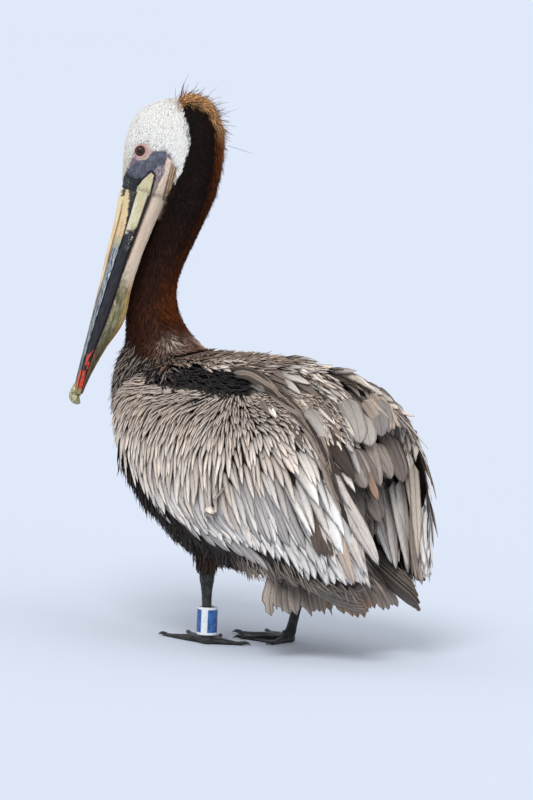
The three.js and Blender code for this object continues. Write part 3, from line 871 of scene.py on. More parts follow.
def face_tint(points):
    """The bare skin: slate-violet cheeks, a pink ring round the eye, black lores and a pale gape."""
    q = to_head(points)
    s, n = q[:, 2], q[:, 1]
    rag = 1.1 * wobble(points, 7, 5)
    cloud = wobble(points, 12, 6)
    fine_mottle = wobble(points, 3.5, 7)
    tint = mix("92777e", "6f6270", step(-0.5, 0.7, cloud + 0.4 * fine_mottle))
    ring = eye_ring(s, n) + 0.5 * rag
    tint = mix(tint, PINK, step(15.5, 12, ring))
    under_eye = 0.75 * step(8.6, 9.4, ring) * step(13.6, 12, ring) * step(-15, -19, n - 0.5 * (s + 58))
    tint = mix(tint, "b9aa98", under_eye)
    grey = mix(FACE_SKIN * 0.55, FACE_SKIN * 1.1, step(-0.9, 0.9, cloud + 0.5 * fine_mottle))
    grey = mix(grey, "575362", 0.5 * step(-0.1, 0.7, wobble(points, 16, 8)))
    # Painted highlights: small pale bluish flecks on the slate cheek.
    grey = mix(grey, "8e92a0", 0.3 * step(0.4, 0.9, fine_mottle))
    tint = mix(tint, grey, step(-0.8, 0.8, distance_in(GREY_SKIN, s, n) + rag))
    mottled = mix("55484a", "9d9297", step(-0.6, 0.6, fine_mottle + 0.4 * cloud))
    mottled = mix(mottled, "8f8172", step(-34, -12, s))
    tint = mix(tint, mottled, step(-39, -42, n + 0.5 * rag) * step(-50, -42, s + rag))
    strip = distance_in(PALE_STRIP, s, n) + 0.4 * rag
    tint = mix(tint, pouch_pink(q, points, 0.4), step(-0.9, 1.2, strip))
    # Painted shade: the folds behind the gape are tan on their ridges and dark brown in their grooves, where
    # face_relief sinks them.
    fold = mix("c0a184", "5f4a38", step(-0.1, 0.9, gape_folds(s, n, points)))
    fold = mix(fold, "8e8a5a", 0.6 * step(-66.5, -64.5, n) * step(-62, -64, n) * step(-46, -30, s))
    tint = mix(tint, fold, step(-59.5, -61, n + 0.3 * rag) * step(-63, -54, s))
    # Painted shade: a dark reddish line along the crease below the pale strip.
    crease = np.exp(-((n + 60 - 0.3 * step(-54, -66, s) * (s + 54)) / 0.8) ** 2) * step(-66, -60, s)
    tint = mix(tint, "6d4043", 0.8 * crease)
    lore = step(-1.2, 1.2, s + 20.5 + 0.023 * (n + 14) ** 2 + 1.6 * rag) * step(-38, -35, n)
    tint = mix(tint, HORN_BLACK, lore)
    # A painted highlight: a pale grey glint on the black skin at the bill's base, broken into streaks.
    glint_and_scuffs = np.exp(-((s + 10) ** 2 / 30 + (n + 6) ** 2 / 20)) * step(0.1, 0.7, fine_mottle)
    tint = mix(tint, "8b918c", 0.7 * glint_and_scuffs)
    ramus = distance_in(RAMUS, s, n) + 0.3 * rag
    below = step(-24, -34, n)
    tint = mix(tint, HORN_BLACK, step(-2.2 - 1.8 * below, -0.9 - 0.9 * below, ramus))
    return mix(tint, ramus_cream(q), step(-0.4, 0.5, ramus))


def body_tint(points):
    blotch = step(-0.6, 0.6, wobble(points, 40, 8))
    thigh = np.exp(-((points - [60, -36, 128]) ** 2 / [500, 900, 300]).sum(1))
    return mix(mix(SOOT * 0.75, SOOT * 1.25, blotch), "6b4630", 0.7 * thigh)


def belly_tint(points, normals):
    """The dark underside, paler where it passes into the tail coverts."""
    return mix(body_tint(points), "8c8077", step(25, 75, points[:, 1]) * step(300, 260, points[:, 2]))


def skin_tint(points, normals, on_head, on_neck, on_wing):
    """What shows between the feathers: the same markings, a little darker for the dark under-feathers and as
    painted shade in the gaps, and the bare face.
    """
    tint = mix(body_tint(points) * 0.8, UMBER * 0.55, on_wing * (points[:, 2] > wing_hem(points)))
    tint = mix(tint, neck_tint(points, normals) * 0.65, on_neck)
    hood = is_hooded(points) * (on_head + on_neck > 0)
    tint = mix(tint, head_tint(points) * 0.9, hood)
    return mix(tint, face_tint(points), bareness(points) * (on_head + on_neck > 0))


# ------------------------------------------------------------------ skin
OWNER = {node: index for index, node in enumerate(FLESH)}


def on_nodes(*names):
    """True of each face of the body that lies on one of those nodes."""
    return np.isin(OWNERS, [OWNER[name] for name in names])


def share(values, faces, count):
    """Values of the faces averaged at the points."""
    total = np.zeros(count)
    hits = np.zeros(count)
    for corner in range(4):
        np.add.at(total, faces[:, corner], values)
        np.add.at(hits, faces[:, corner], 1)
    return total / np.maximum(hits, 1)


REFINED_SMOOTHING = 9  # rounds


def refined(piece, chosen, cuts):
    """The piece with finer, smoothed faces where chosen is true of both ends of an edge."""
    bm = bmesh.new()
    bm.from_mesh(piece.data)
    bm.verts.ensure_lookup_table()
    edges = [edge for edge in bm.edges if chosen[edge.verts[0].index] and chosen[edge.verts[1].index]]
    inner = {vert for edge in edges for vert in edge.verts}
    made = bmesh.ops.subdivide_edges(bm, edges=edges, cuts=cuts, use_grid_fill=True)
    inner.update(part for part in made["geom"] if isinstance(part, bmesh.types.BMVert))
    inner = [vert for vert in inner if vert.is_valid]
    for _ in range(REFINED_SMOOTHING):
        bmesh.ops.smooth_vert(bm, verts=inner, factor=0.5, use_axis_x=True, use_axis_y=True, use_axis_z=True)
    bm.to_mesh(piece.data)
    bm.free()
    return piece


def face_relief(points):
    """How far the bare skin stands out: folds at the gape, fine wrinkles, and a socket round the eye."""
    q = to_head(points)
    s, n = q[:, 2], q[:, 1]
    ring = np.hypot(s - EYE[2], n - EYE[1])
    fine = 0.22 * wobble(points, 3.5, 7) + 0.45 * wobble(points, 12, 9)
    rings = 0.3 * np.sin(ring * 2.4 + wobble(points, 12, 10)) * step(17, 13, ring)
    cheek = 1.8 * step(0, 9, distance_in(GREY_SKIN, s, n))
    folds = (-0.7 * gape_folds(s, n, points) - 0.6) * step(-59.5, -61, n)
    strip = 1.2 * step(-1, 3, distance_in(PALE_STRIP, s, n))
    edge = distance_in(RAMUS, s, n)
    ramus = 1.8 * step(-0.8, 0.8, edge) - 1.5 * np.exp(-((edge + 1.9) / 1.1) ** 2)
    socket = -1.2 * step(13, 9, ring)
    under_bill = -1.5 * step(2, 8, s)
    shape = (fine + rings + cheek + folds + strip + ramus) * step(-4, -12, s)
    return bareness(points) * (shape + socket + under_bill - 0.8)


def met_by_bill(points, bill):
    """Points of the face laid over the start of the bill, and tucked under it further on."""
    q = to_head(points)
    s = q[:, 2]
    moved = points.copy()
    for index in np.where((s > BILL_START - 2) & (s < 20) & (np.abs(q[:, 0]) < 40))[0]:
        place, normal, _, gap = bill.find_nearest(Vector(points[index]))
        if gap < BILL_REACH:
            height = (Vector(points[index]) - place).dot(normal)
            level = mix_number(0.3, -1.0, step(0, 8, s[index]))
            height = mix_number(max(height, level), level, step(-9, 1, s[index]))
            pull = step(BILL_START - 2, BILL_START + 2, s[index]) * step(BILL_REACH, 0.6 * BILL_REACH, gap)
            moved[index] = mix_number(points[index], np.array(place + normal * height), pull)
    return moved


SKIN_DEPTH = 7  # under the outline of the plumage, on the trunk
HOOD_DEPTH = 1.3
FRINGE_DEPTH = 6  # more than elsewhere on the neck
THIN_SHARE = 0.36  # the most, of a thin part's thickness
DEPTH_SOFTENING = 3  # rounds
FACE_CUTS = 4  # of each edge, where the skin is bare


def make_skin(body, owner, bill):
    """The whole hide, drawn in from the plumage's outline by the depth of the coat."""
    piece = bpy.data.objects["skin"]
    count = len(body.points)
    on = {node: share((owner == index).astype(float), body.faces, count) for node, index in OWNER.items()}
    neck = on["neck_upper"] + on["neck_lower"]
    wing = on["wing_left"] + on["wing_right"]
    hood = is_hooded(body.points) * (on["head"] + neck)
    depth = SKIN_DEPTH - 1.5 * neck + 1.5 * wing - 3 * (on["shank_left"] + on["shank_right"])
    depth = depth * (1 - hood) + HOOD_DEPTH * hood
    depth = depth + FRINGE_DEPTH * neck * fringe(body.points, body.normals) * (1 - hood)
    depth = np.minimum(depth, body.thickness() * THIN_SHARE)
    depth = depth * (1 - bareness(body.points) * (on["head"] + neck > 0.2))
    for _ in range(DEPTH_SOFTENING):
        depth = share(depth[body.faces].mean(1), body.faces, count)
    mesh = piece.data
    move(mesh, body.points - body.normals * depth[:, None])
    parts = {"head": on["head"], "neck": neck, "wing": wing}
    for name, values in parts.items():
        mesh.attributes.new(name, "FLOAT", "POINT").data.foreach_set("value", values)
    q = to_head(body.points)
    face = (on["head"] + neck > 0.2) & (q[:, 2] > -82) & (np.abs(q[:, 0]) > 3) & (q[:, 1] < 8)
    refined(piece, face & (q[:, 1] > -84) & (bareness(body.points) > 0.01), FACE_CUTS)
    for name in parts:
        parts[name] = np.zeros(len(mesh.vertices))
        mesh.attributes[name].data.foreach_get("value", parts[name])
        mesh.attributes.remove(mesh.attributes[name])
    points, normals = points_of(mesh), normals_of(mesh)
    near_face = parts["head"] + parts["neck"] > 0.2
    points = points + normals * (face_relief(points) * near_face)[:, None]
    q = to_head(points)
    at_eye = (np.hypot(q[:, 2] - EYE[2], q[:, 1] - EYE[1]) < EYE_RADIUS - 0.6) & (np.abs(q[:, 0]) > 9)
    q[:, 0] = np.where(at_eye, np.sign(q[:, 0]) * np.minimum(np.abs(q[:, 0]), EYE[0] - 3), q[:, 0])
    points = np.where(at_eye[:, None], from_head(q), points)
    points = np.where(near_face[:, None], met_by_bill(points, bill), points)
    move(mesh, points)
    paint(mesh, skin_tint(points, normals, *parts.values()))
    shade_smooth(mesh)
    return piece


def skin_material():
    material = new_material("hide")
    nodes = Nodes(material)
    shader = nodes.principled(roughness=0.55, specular=0.35)
    place = nodes.place("Object")
    pore = nodes.noise(place, 1500, 2)
    mottle = nodes.noise(place, 260, 4)
    nodes.tinted(shader, mottle, 0.35, 0.7, 0.88, 1.1)
    nodes.bump(shader, nodes.maths("ADD", nodes.maths("MULTIPLY", pore, 0.4), mottle), 0.5, 0.0005)
    return material


# ------------------------------------------------------------------ eyes and lids
LID_STEPS = 72
EYE_AROUND = 64
# Radius round the eye, and height off its middle, of the rim's rows from the inside out.
LID_ROWS = ((7.2, 4.6), (7.3, 5.7), (7.65, 6.3), (8.2, 6.4), (8.8, 6.2))


def make_lids(body):
    """A fleshy rim round each eye, its outer edge sunk into the face."""
    pieces = []
    turn = np.linspace(0, 2 * pi, LID_STEPS, endpoint=False)
    for name, side in SIDES.items():
        eye = from_head(EYE * [side, 1, 1])
        round_eye = from_head(np.stack([0 * turn, np.sin(turn), np.cos(turn)], 1)) - CULMEN_BASE
        out = HEAD_AXES[:, 0] * side
        rows = []
        for radius, height in LID_ROWS:
            pinch = radius * (1 - 0.05 * np.abs(np.sin(turn)))
            rows.append(eye + round_eye * pinch[:, None] + out * height)
        rim, normals = body.nearest(eye + round_eye * 9.6 + out * 7)
        rows.append((rows[-1] + rim) / 2 + normals * 0.5)
        rows.append(rim + normals * 0.25)
        outer, normals = body.nearest(eye + round_eye * 11.2 + out * 6)
        rows.append(outer - normals * 1.8)
        rows.append(eye + round_eye * 9.8 + out * 0.5)
        rows.append(eye + round_eye * 7.0 + out * 3.6)
        rings = np.stack(rows, 1)
        rings = np.concatenate([rings, rings[:1]])
        count, around = rings.shape[:2]
        points = rings[:-1].reshape(-1, 3)
        quads = ring_faces(count, around)[0] % len(points)
        if side < 0:
            quads = quads[:, ::-1]
        tint = mix(face_tint(points), PINK * 0.9, 0.3)
        first_rows = np.tile(np.arange(around) < 2, count - 1)
        tint = mix(tint, "2a1c1c", 0.85 * first_rows)
        pieces.append(mesh_object("lid_" + name, points, [quads], tint))
    return pieces


def make_eyes():
    """Eyeballs with a slightly raised cornea, a dark pupil and a brown iris, dark at its rim."""
    material = new_material("eye")
    nodes = Nodes(material)
    shader = nodes.principled(roughness=0.12, specular=0.2, coat_weight=0.3, coat_roughness=0.03)
    flecks = nodes.noise(nodes.place("Object"), 1500, 2)
    nodes.tinted(shader, flecks, 0.3, 0.7, 0.75, 1.3)
    for name, side in SIDES.items():
        polar = np.concatenate([np.linspace(0.02, 1.1, 40), np.linspace(1.15, pi - 0.03, 14)])[:, None]
        turn = np.linspace(0, 2 * pi, EYE_AROUND, endpoint=False)[None]
        cornea = 1 + 0.045 * np.exp(-(polar / 0.55) ** 4)
        out = EYE_RADIUS * cornea * np.cos(polar) * np.ones_like(turn)
        flat = EYE_RADIUS * np.sin(polar)
        local = np.stack([out * side, flat * np.sin(turn) * side, flat * np.cos(turn)], -1)
        rings = from_head(local + EYE * [side, 1, 1])
        radius = np.broadcast_to(flat, out.shape).ravel()
        front = np.broadcast_to(polar < 1.3, out.shape).ravel()
        tint = mix("080707", "4a2e20", step(3.7, 4.1, radius) * front)
        tint = mix(tint, "140d0b", step(6.0, 7.0, radius))
        points = rings.reshape(-1, 3)
        eye = mesh_object("eyeball_" + name, points, ring_faces(*rings.shape[:2]), tint)
        finished(eye, material, "eye", "eye_" + name)


# ------------------------------------------------------------------ the lie of the coat
COAT_ROOM = 25  # free space that a face needs in front of it for wing or back feathers to grow
# Each row is a place, and the way that feathers lie there; the other side mirrors it.
BODY_LIE = Comb([
    (0, -112, 748, 0, 0.8, 0.25), (0, -98, 705, 0, 0.45, -0.85), (36, -150, 700, 0.1, 0.35, -0.9),
    (0, -190, 640, 0, -0.3, -1), (0, -122, 615, 0, -0.2, -1), (0, -245, 545, 0, -0.1, -1),
    (0, -180, 480, 0, 0.05, -1), (0, -150, 430, 0, 0.5, -0.85), (0, -250, 430, 0, 0.02, -1),
    (0, -130, 398, 0, 0.9, -0.35), (45, -180, 410, 0.25, 0.25, -1), (50, -240, 385, 0.1, -0.03, -1),
    (0, -272, 370, 0, -0.08, -1), (66, -225, 330, 0.05, 0.12, -1), (0, -258, 290, 0, 0.15, -1),
    (70, -180, 220, 0.05, 0.3, -1), (0, -205, 205, 0, 0.32, -0.95), (60, -120, 145, 0.12, 0.25, -1),
    (0, -100, 108, 0, 0.55, -0.8), (60, -50, 125, 0.1, 0.2, -1), (0, 0, 100, 0, 0.75, -0.6),
    (0, 90, 122, 0, 0.8, -0.5), (0, 170, 165, 0, 0.7, -0.7), (0, -90, 406, 0, 1, 0),
    (42, -100, 400, 0.35, 0.9, -0.3), (0, 0, 408, 0, 1, 0), (0, 90, 396, 0, 1, -0.15),
    (0, 150, 350, 0, 0.75, -0.65), (0, 188, 270, 0, 0.35, -0.95), (75, -150, 380, 0.5, 0.4, -0.8),
    (58, -41, 118, 0, 0, -1), (58, 33, 112, 0, 0.1, -1),
])
WING_ROWS = [(93, -167, 354, 0.15, -0.92, -0.37), (97, -107, 354, 0.32, -0.85, -0.42),
             (93, -48, 354, 0.36, -0.81, -0.46), (101, -15, 338, 0.4, -0.5, -0.77),
             (110, -31, 321, 0.5, -0.1, -0.85), (102, 0, 332, 0.49, 0.23, -0.84),
             (97, 31, 335, 0.29, 0.65, -0.7), (89, 56, 346, 0.11, 0.95, -0.3),
             (109, -176, 323, 0.2, 0.0, -0.97), (116, -168, 284, 0.04, 0.14, -0.99),
             (119, -127, 305, 0.24, -0.06, -0.97), (123, -121, 256, 0.03, 0.24, -0.97),
             (114, -133, 222, -0.14, 0.37, -0.92), (121, -63, 295, 0.25, 0.1, -0.96),
             (127, -55, 248, 0, 0.19, -0.98), (127, 9, 254, 0, 0.24, -0.97),
             (120, 64, 275, 0.19, 0.55, -0.81), (111, -73, 173, 0.04, 0.85, -0.52),
             (115, 23, 155, -0.09, 0.85, -0.51), (126, 84, 218, 0, 0.52, -0.85),
             (124, 175, 199, -0.15, 0.5, -0.85), (97, 228, 147, -0.35, 0.27, -0.89),
             (101, 149, 308, 0.15, 0.73, -0.66), (102, 208, 258, -0.06, 0.48, -0.87),
             (79, 91, 357, 0.08, 0.98, -0.2), (57, 164, 363, 0.1, 0.87, -0.49),
             (52, 11, 390, 0, 1, -0.05), (39, 92, 397, 0, 1, -0.12), (53, -80, 395, 0.39, 0.83, -0.41)]
FAR_ROWS = [(-76, 127, 325, -0.36, 0.32, -0.87), (-88, 174, 286, -0.32, 0.03, -0.95),
            (-105, 183, 188, 0.07, 0.25, -0.97), (-72, 180, 105, -0.03, 0.28, -0.96),
            (-55, 105, 366, -0.28, 0.81, -0.52)]  # the right wing is held a little lower and looser
WING_LIE = Comb(WING_ROWS, FAR_ROWS)

BACK_LIE = Comb([
    (0, -90, 406, 0.1, 1, 0), (45, -90, 398, 0.4, 0.9, -0.2), (40, -30, 404, 0.25, 0.95, -0.1),
    (20, 60, 400, 0.12, 1, -0.1), (56, 40, 388, 0.22, 0.9, -0.35), (70, 91, 360, 0.25, 0.85, -0.5),
    (50, 120, 380, 0.12, 0.9, -0.45), (60, 164, 363, 0.1, 0.8, -0.6), (0, 150, 350, 0, 0.75, -0.65),
    (70, 208, 312, 0.1, 0.5, -0.85),
])


def head_lie(points):
    """From the bill back over the crown, parting round the eye."""
    q = to_head(points)
    way = np.stack([0.15 * q[:, 0] / 30, -0.25 + 0 * q[:, 0], -1 + 0 * q[:, 0]], 1)
    past_eye = (q - EYE) * [0, 1, 1]
    near = np.exp(-(past_eye ** 2).sum(1) / 300)[:, None]
    return unit((way + unit(past_eye) * near) @ HEAD_AXES.T)


def chart_of(points, normals, kind):
    """Each root's place on an unwrap of the skin: round a limb's axis and along it, or a wing's two faces."""
    if kind == "wing":
        u = (points[:, 1] + 220) / 480
        v = (points[:, 2] - 100) / 640 + 0.5 * (normals[:, 0] * np.sign(points[:, 0]) > 0)
    elif kind == "head":
        q = to_head(points)
        u = np.arctan2(q[:, 0], q[:, 1] + 33) / (2 * pi) + 0.5
        v = (q[:, 2] + 160) / 190
    elif kind == "neck":
        u = np.arctan2(points[:, 0], points[:, 1] + 180) / (2 * pi) + 0.5
        v = (points[:, 2] - 330) / 440
    else:  # the trunk
        u = np.arctan2(points[:, 0], points[:, 2] - 250) / (2 * pi) + 0.5
        v = (points[:, 1] + 280) / 500
    return np.clip(np.stack([u, v], 1), 0.01, 0.99)


def coat(name, material, slot, count, weight, lengths, widths, lie, *, steps=4, section=TUFT, thick=0.35,
         camber=0.3, depth, rise, power=1.5, sway, shape=(0.25, 0.3, 0.9), colours, spread, chart="trunk",
         dark_root=0.55, hug=1.0, spacing=None, loose=0.5, vary=0.16):
    """One piece of plumage, its tufts scattered by weight and grown along the lie.

    lengths, widths, depth, rise and colours may be functions of the roots and their normals. With a
    spacing the roots are laid evenly, and count is how many places are tried.
    """
    draw = np.random.default_rng(sum(name.encode()))
    if spacing:
        roots, normals = BODY.even_roots(count, weight, spacing, lie, draw)
        count = len(roots)
    else:
        roots, normals = BODY.roots(count, weight, draw)
    given = (lengths, widths, depth, rise, colours)
    long, wide, deep, high, colour = (v(roots, normals) if callable(v) else v for v in given)
    long = long * draw.lognormal(0, vary, count)
    wide = wide * draw.lognormal(0, 0.14, count)
    high = high * draw.lognormal(0, loose, count)
    lines, ups = grown(BODY, roots, normals, long, lie, steps, sway, draw, hug)
    lines = lifted(lines, ups, deep, high, power)
    t = np.linspace(0, 1, steps)
    half = np.asarray(wide).reshape(-1, 1) / 2 * taper(t, *shape)[None] + 0.06
    shade = varied(colour, draw, spread, count)
    tint = shade[:, None] * mix_number(dark_root, 1.08, t ** 0.7)[None, :, None]
    places = chart_of(roots, normals, chart)
    return finished(vanes(name, lines, ups, half, section, thick, camber, tint, places), material, slot)


def speckled(a, b, share_of_b, seed):
    """Tufts of colour a with a share of them b."""
    def colours(points, normals):
        chosen = np.random.default_rng(seed).uniform(0, 1, len(points)) < share_of_b
        return np.where(chosen[:, None], ink(b), ink(a))
    return colours


def along_z(low, high, a, b):
    """A value that runs from a at the height low to b at the height high."""
    return lambda points, normals: mix_number(a, b, step(low, high, points[:, 2]))


def flecked_head(points, normals):
    """The white of the head with a few dark feathers on the crown."""
    q = to_head(points)
    dark = np.random.default_rng(16).uniform(0, 1, len(points)) < 0.012
    crown = (q[:, 1] > -45) & (q[:, 2] < -66)
    return np.where((dark & crown)[:, None], ink("6a5f58"), head_tint(points))


def white_length(points, normals):
    """Short round the face, longer behind."""
    q = to_head(points)
    return mix_number(3.2, 6.8, step(-10, 45, np.hypot(q[:, 2] + 30, q[:, 1] + 10) - 22))


def white_width(points, normals):
    return 0.9 + 0.2 * white_length(points, normals)


def make_head_coat(tufts):
    here = on_nodes("head", "neck_upper") * is_hooded(BODY.centres) * (1 - bareness(BODY.centres))
    coat("plumage_head", tufts, "white_plumage", 13600, here, white_length, white_width, head_lie, steps=3,
         depth=0.8, rise=0.3, sway=0.12, colours=flecked_head, spread=0.025, chart="head", dark_root=0.95,
         thick=0.16, camber=0.12)


def make_neck_coat(tufts):
    on = on_nodes("neck_upper", "neck_lower", "head")
    dark = on * (1 - is_hooded(BODY.centres)) * (1 - bareness(BODY.centres))
    dark = dark * (1 - 0.9 * fringe(BODY.centres, BODY.face_normals))
    z = BODY.centres[:, 2]
    for half, here in (("upper", z > 560), ("lower", (z <= 570) * (z > 395))):
        coat("plumage_neck_" + half, tufts, "neck_plumage", 9000, dark * here, along_z(420, 700, 15, 10),
             along_z(420, 700, 1.7, 1.2), BODY_LIE, depth=4.0, rise=1.2, sway=0.22, colours=neck_tint,
             spread=0.42, chart="neck", dark_root=0.4)


def crest_tint(points, normals):
    return neck_tint(points, normals) * (0.8 + 0.65 * step(-0.5, 0.6, wobble(points, 2.4, 33)))[:, None]


def make_crest(tufts):
    """The raised fringe down the nape, golden above, and a few long loose wisps."""
    z = BODY.centres[:, 2]
    high = fringe(BODY.centres, BODY.face_normals)
    line = step(0.8, 0.95, nape(BODY.centres, BODY.face_normals)) * step(430, 600, z)
    on = on_nodes("neck_upper", "neck_lower", "head")
    here = on * np.maximum(0.45 * line, high) * (1 - is_hooded(BODY.centres))
    coat("plumage_crest", tufts, "neck_plumage", 6400, here, along_z(450, 740, 11, 18), 0.8, BODY_LIE,
         steps=5, depth=along_z(610, 700, 4.0, 11.0), rise=along_z(480, 735, 1.4, 3.4), power=1.0,
         sway=0.45, colours=crest_tint, spread=0.42, chart="neck", dark_root=0.2, hug=0.8, loose=0.4)
    coat("plumage_wisps", tufts, "neck_plumage", 320, here * step(640, 735, z), 12, 0.4, BODY_LIE, steps=6,
         depth=4.0, rise=along_z(640, 740, 4.0, 9.5), power=1.0, sway=0.3, spread=0.3, chart="neck",
         colours=speckled("4a2c18", "a06a38", 0.4, 19), hug=0.6)


# ------------------------------------------------------------------ breast, belly and mantle
def hollow_tint(points, normals):
    """Beside the neck's base: some feathers pale, and all of them dark further back, where a painted shade
    darkens them deep in the hollow.
    """
    pale = speckled(SOOT * 0.9, "8d7f76", 0.35, 18)(points, normals)
    return mix(SOOT * 0.6, pale, step(-105, -125, points[:, 1]))


def mantle_tint(points, normals):
    rear = step(-160, -60, points[:, 1])
    return mix("6c5341", "b5a293", np.clip(rear + 0.5 * wobble(points, 18, 12), 0, 1))


def make_body_coats(vane):
    x, y, z = BODY.centres.T
    up = BODY.face_normals[:, 2]
    trunk = on_nodes("trunk", "neck_lower", "shank_left", "shank_right")
    wings = on_nodes("wing_left", "wing_right")
    front = trunk * step(-140, -180, y) * step(225, 300, z) * (z < 404 + 22 * step(-185, -235, y))
    for name, count, width, colour, rise in (("plumage_breast", 1900, 4.4, ink("2a1e1a"), 1.5),
                                             ("plumage_breast_pale", 980, 1.4, ink("ada199"), 3.4)):
        coat(name, vane, "dark_plumage", count, front, along_z(280, 410, 38, 25), width, BODY_LIE, steps=6,
             section=LEAF, depth=4.5, rise=rise, sway=0.2, shape=(0.3, 0.4, 1.1), camber=0.4,
             colours=colour, spread=0.25, dark_root=0.45)

    flanks = trunk * (z < 330) * (up < 0.75) * step(-150, -100, y + 0.4 * (300 - z))
    below_wings = wings * (z < wing_hem(BODY.centres) + 2) * (up < 0.5) * (y < 200 + 32 * (x > 0))
    dark = np.minimum(flanks + trunk * (z < 262) * (up < 0.6) + below_wings, 1)
    coat("plumage_belly", vane, "dark_plumage", 5400, dark, along_z(110, 280, 27, 32), 3.4, BODY_LIE,
         steps=5, section=LEAF, depth=5.0, rise=along_z(130, 230, 4.0, 7.0), power=1.2, sway=0.22,
         shape=(0.3, 0.45, 1.1), colours=belly_tint, spread=0.28, dark_root=0.45, loose=0.3)

    x = np.abs(x)
    deep = (trunk + wings) * (z > 350) * (z < 390) * (y > -160) * (y < 18) * (x > 50) * EXPOSED
    coat("plumage_hollow", vane, "dark_plumage", 800, np.minimum(deep, 1), 26, 4, BODY_LIE, steps=5,
         section=LEAF, depth=6.0, rise=1.0, sway=0.3, shape=(0.3, 0.4, 1.1), colours=hollow_tint,
         spread=0.3, dark_root=0.5)

    collar = on_nodes("neck_lower") * (z > 400)
    back = (wings + trunk) * (1 - collar) * (z > 372) * (up > 0.05)
    back = back * step(-175, -150, y) * (y < 20) * (x < 52)
    coat("plumage_mantle", vane, "dark_plumage", 900, np.minimum(back, 1), 37, 7, BODY_LIE, steps=6,
         section=LEAF, depth=6.5, rise=2.0, sway=0.26, shape=(0.3, 0.5, 0.9), camber=0.35,
         colours=mantle_tint, spread=0.26, dark_root=0.22)


# ------------------------------------------------------------------ wing coverts
HEM = [(-190, 275), (-158, 236), (-125, 211), (-91, 196), (-70, 182), (-37, 161), (9, 146), (88, 147),
       (116, 147), (138, 142), (176, 125), (231, 115), (260, 120)]  # along y, where the pale coverts end


def wing_hem(points):
    return along_line(HEM, points[:, 1])


def covert_size(points):
    """0 for the small coverts at the wing's upper edge, 1 for the great ones below."""
    return step(362, 190 + 70 * step(20, 150, points[:, 1]), points[:, 2])


def covert_tint(points, normals):
    size = covert_size(points)
    warm = mix("c4b4a7", "eaddd1", step(0.0, 0.35, size))
    cool = mix(warm, "e6e2de", step(0.5, 1.0, size))
    return mix(cool, "dcc6b0", 0.45 * step(-0.2, 0.8, wobble(points, 35, 13)))


def covert_width(points, normals=None):
    return 3.8 + 13 * covert_size(points) ** 1.3


def covert_length(points, normals):
    """Longer lower down, but no tip hangs below the hem."""
    free = 22 + 66 * covert_size(points) ** 1.2
    tip = points + [0, 1, 0] * (0.42 * free)[:, None]
    return np.clip((points[:, 2] - wing_hem(tip)) / 0.87, 18, free)


def covert_spacing(points):
    return 0.5 * covert_width(points), 8 + 20 * covert_size(points)


def inner_spacing(points):
    return np.full(len(points), 7.0), np.full(len(points), 15.0)


def make_coverts(vane):
    """The pale rows on the outer side of each wing, and the longer feathers on its inner side."""
    x, y, z = BODY.centres.T
    hem = wing_hem(BODY.centres) + 24
    wall = step(0.3, 0.6, BODY.face_normals[:, 1]) * step(222, 246, z) * (y > 150)
    top = 361 + 11 * step(10, 70, y) + 9 * step(-130, -156, y)
    across, along = covert_spacing(BODY.centres)
    room = 1 / (across * along)
    for name, side in SIDES.items():
        wing = on_nodes("wing_" + name)
        outwards = BODY.face_normals[:, 0] * side
        outer = wing * EXPOSED * (outwards > -0.25) * (z > hem) * (z < top)
        outer = outer * (1 - wall) * BODY.open_to((side, 0, 0.1))
        coat("coverts_" + name, vane, "wing_plumage", 16000, outer * room, covert_length, covert_width,
             WING_LIE, steps=7, section=LEAF, thick=0.5, camber=0.34, depth=5.0, rise=2.4, power=1.6,
             sway=0.09, shape=(0.15, 0.55, 0.6), colours=covert_tint, spread=0.12, dark_root=0.42,
             chart="wing", spacing=covert_spacing, vary=0.06)
        inner = wing * EXPOSED * (outwards <= -0.1) * (z > hem + 30)
        rump = on_nodes("trunk") * EXPOSED * (y > 40) * (x * side > 0)
        beyond = step(100, 140, y) * step(335, 305, z)
        rear = np.minimum(inner + rump * (z > 200), 1) * (1 - beyond)
        coat("coverts_inner_" + name, vane, "wing_plumage", 7000, rear, along_z(150, 380, 58, 40),
             along_z(150, 380, 15, 12), WING_LIE, steps=8, section=LEAF, thick=0.5, camber=0.3, depth=4.0,
             rise=4.0, power=1.6, sway=0.14, shape=(0.12, 0.72, 0.5), spread=0.14, dark_root=0.4,
             colours=speckled("c0b6b0", "dfd0c3", 0.5, 12), chart="wing", spacing=inner_spacing)


# ------------------------------------------------------------------ the big feathers
def frayed(half, t, draw, amount, count):
    """Half widths with the nicks and wear of old feathers, most of it near the tips."""
    wear = draw.uniform(0, 1, (count, len(t))) ** 3
    return half * (1 - amount * wear * step(0.35, 1.0, t))


def laid_feathers(name, material, slot, lines, ups, widths, *nodes, shape=(0.05, 0.86, 0.5), thick=0.8,
                  camber=0.14, seed, tint, edge, spread, wear, chart="trunk", roots=None, tip=None,
                  dark_root=0.6, least=0.1):
    """Broad vanes along given lines, worn and split towards the tips.

    The seed may be a generator in use; the roots say where the vanes are charted, if not where the
    lines start; and least is added to every half width.
    """
    draw = np.random.default_rng(seed)
    count, steps = lines.shape[:2]
    t = np.linspace(0, 1, steps)
    half = frayed(widths[:, None] / 2 * taper(t, *shape)[None], t, draw, wear, count) + least
    shade = varied(tint, draw, spread, count)
    colour = shade[:, None] * mix_number(dark_root, 1.05, t ** 0.5)[None, :, None]
    if tip is not None:
        worn = step(0.8, 1.0, t[None] + draw.normal(0, 0.05, (count, 1)))
        colour = mix(colour, tip, 0.75 * worn)
    places = chart_of(lines[:, 0] if roots is None else roots, ups[:, 0], chart)
    piece = vanes(name, lines, ups, half, VANE, thick, camber, colour, places, edge)
    return finished(piece, material, slot, *nodes)


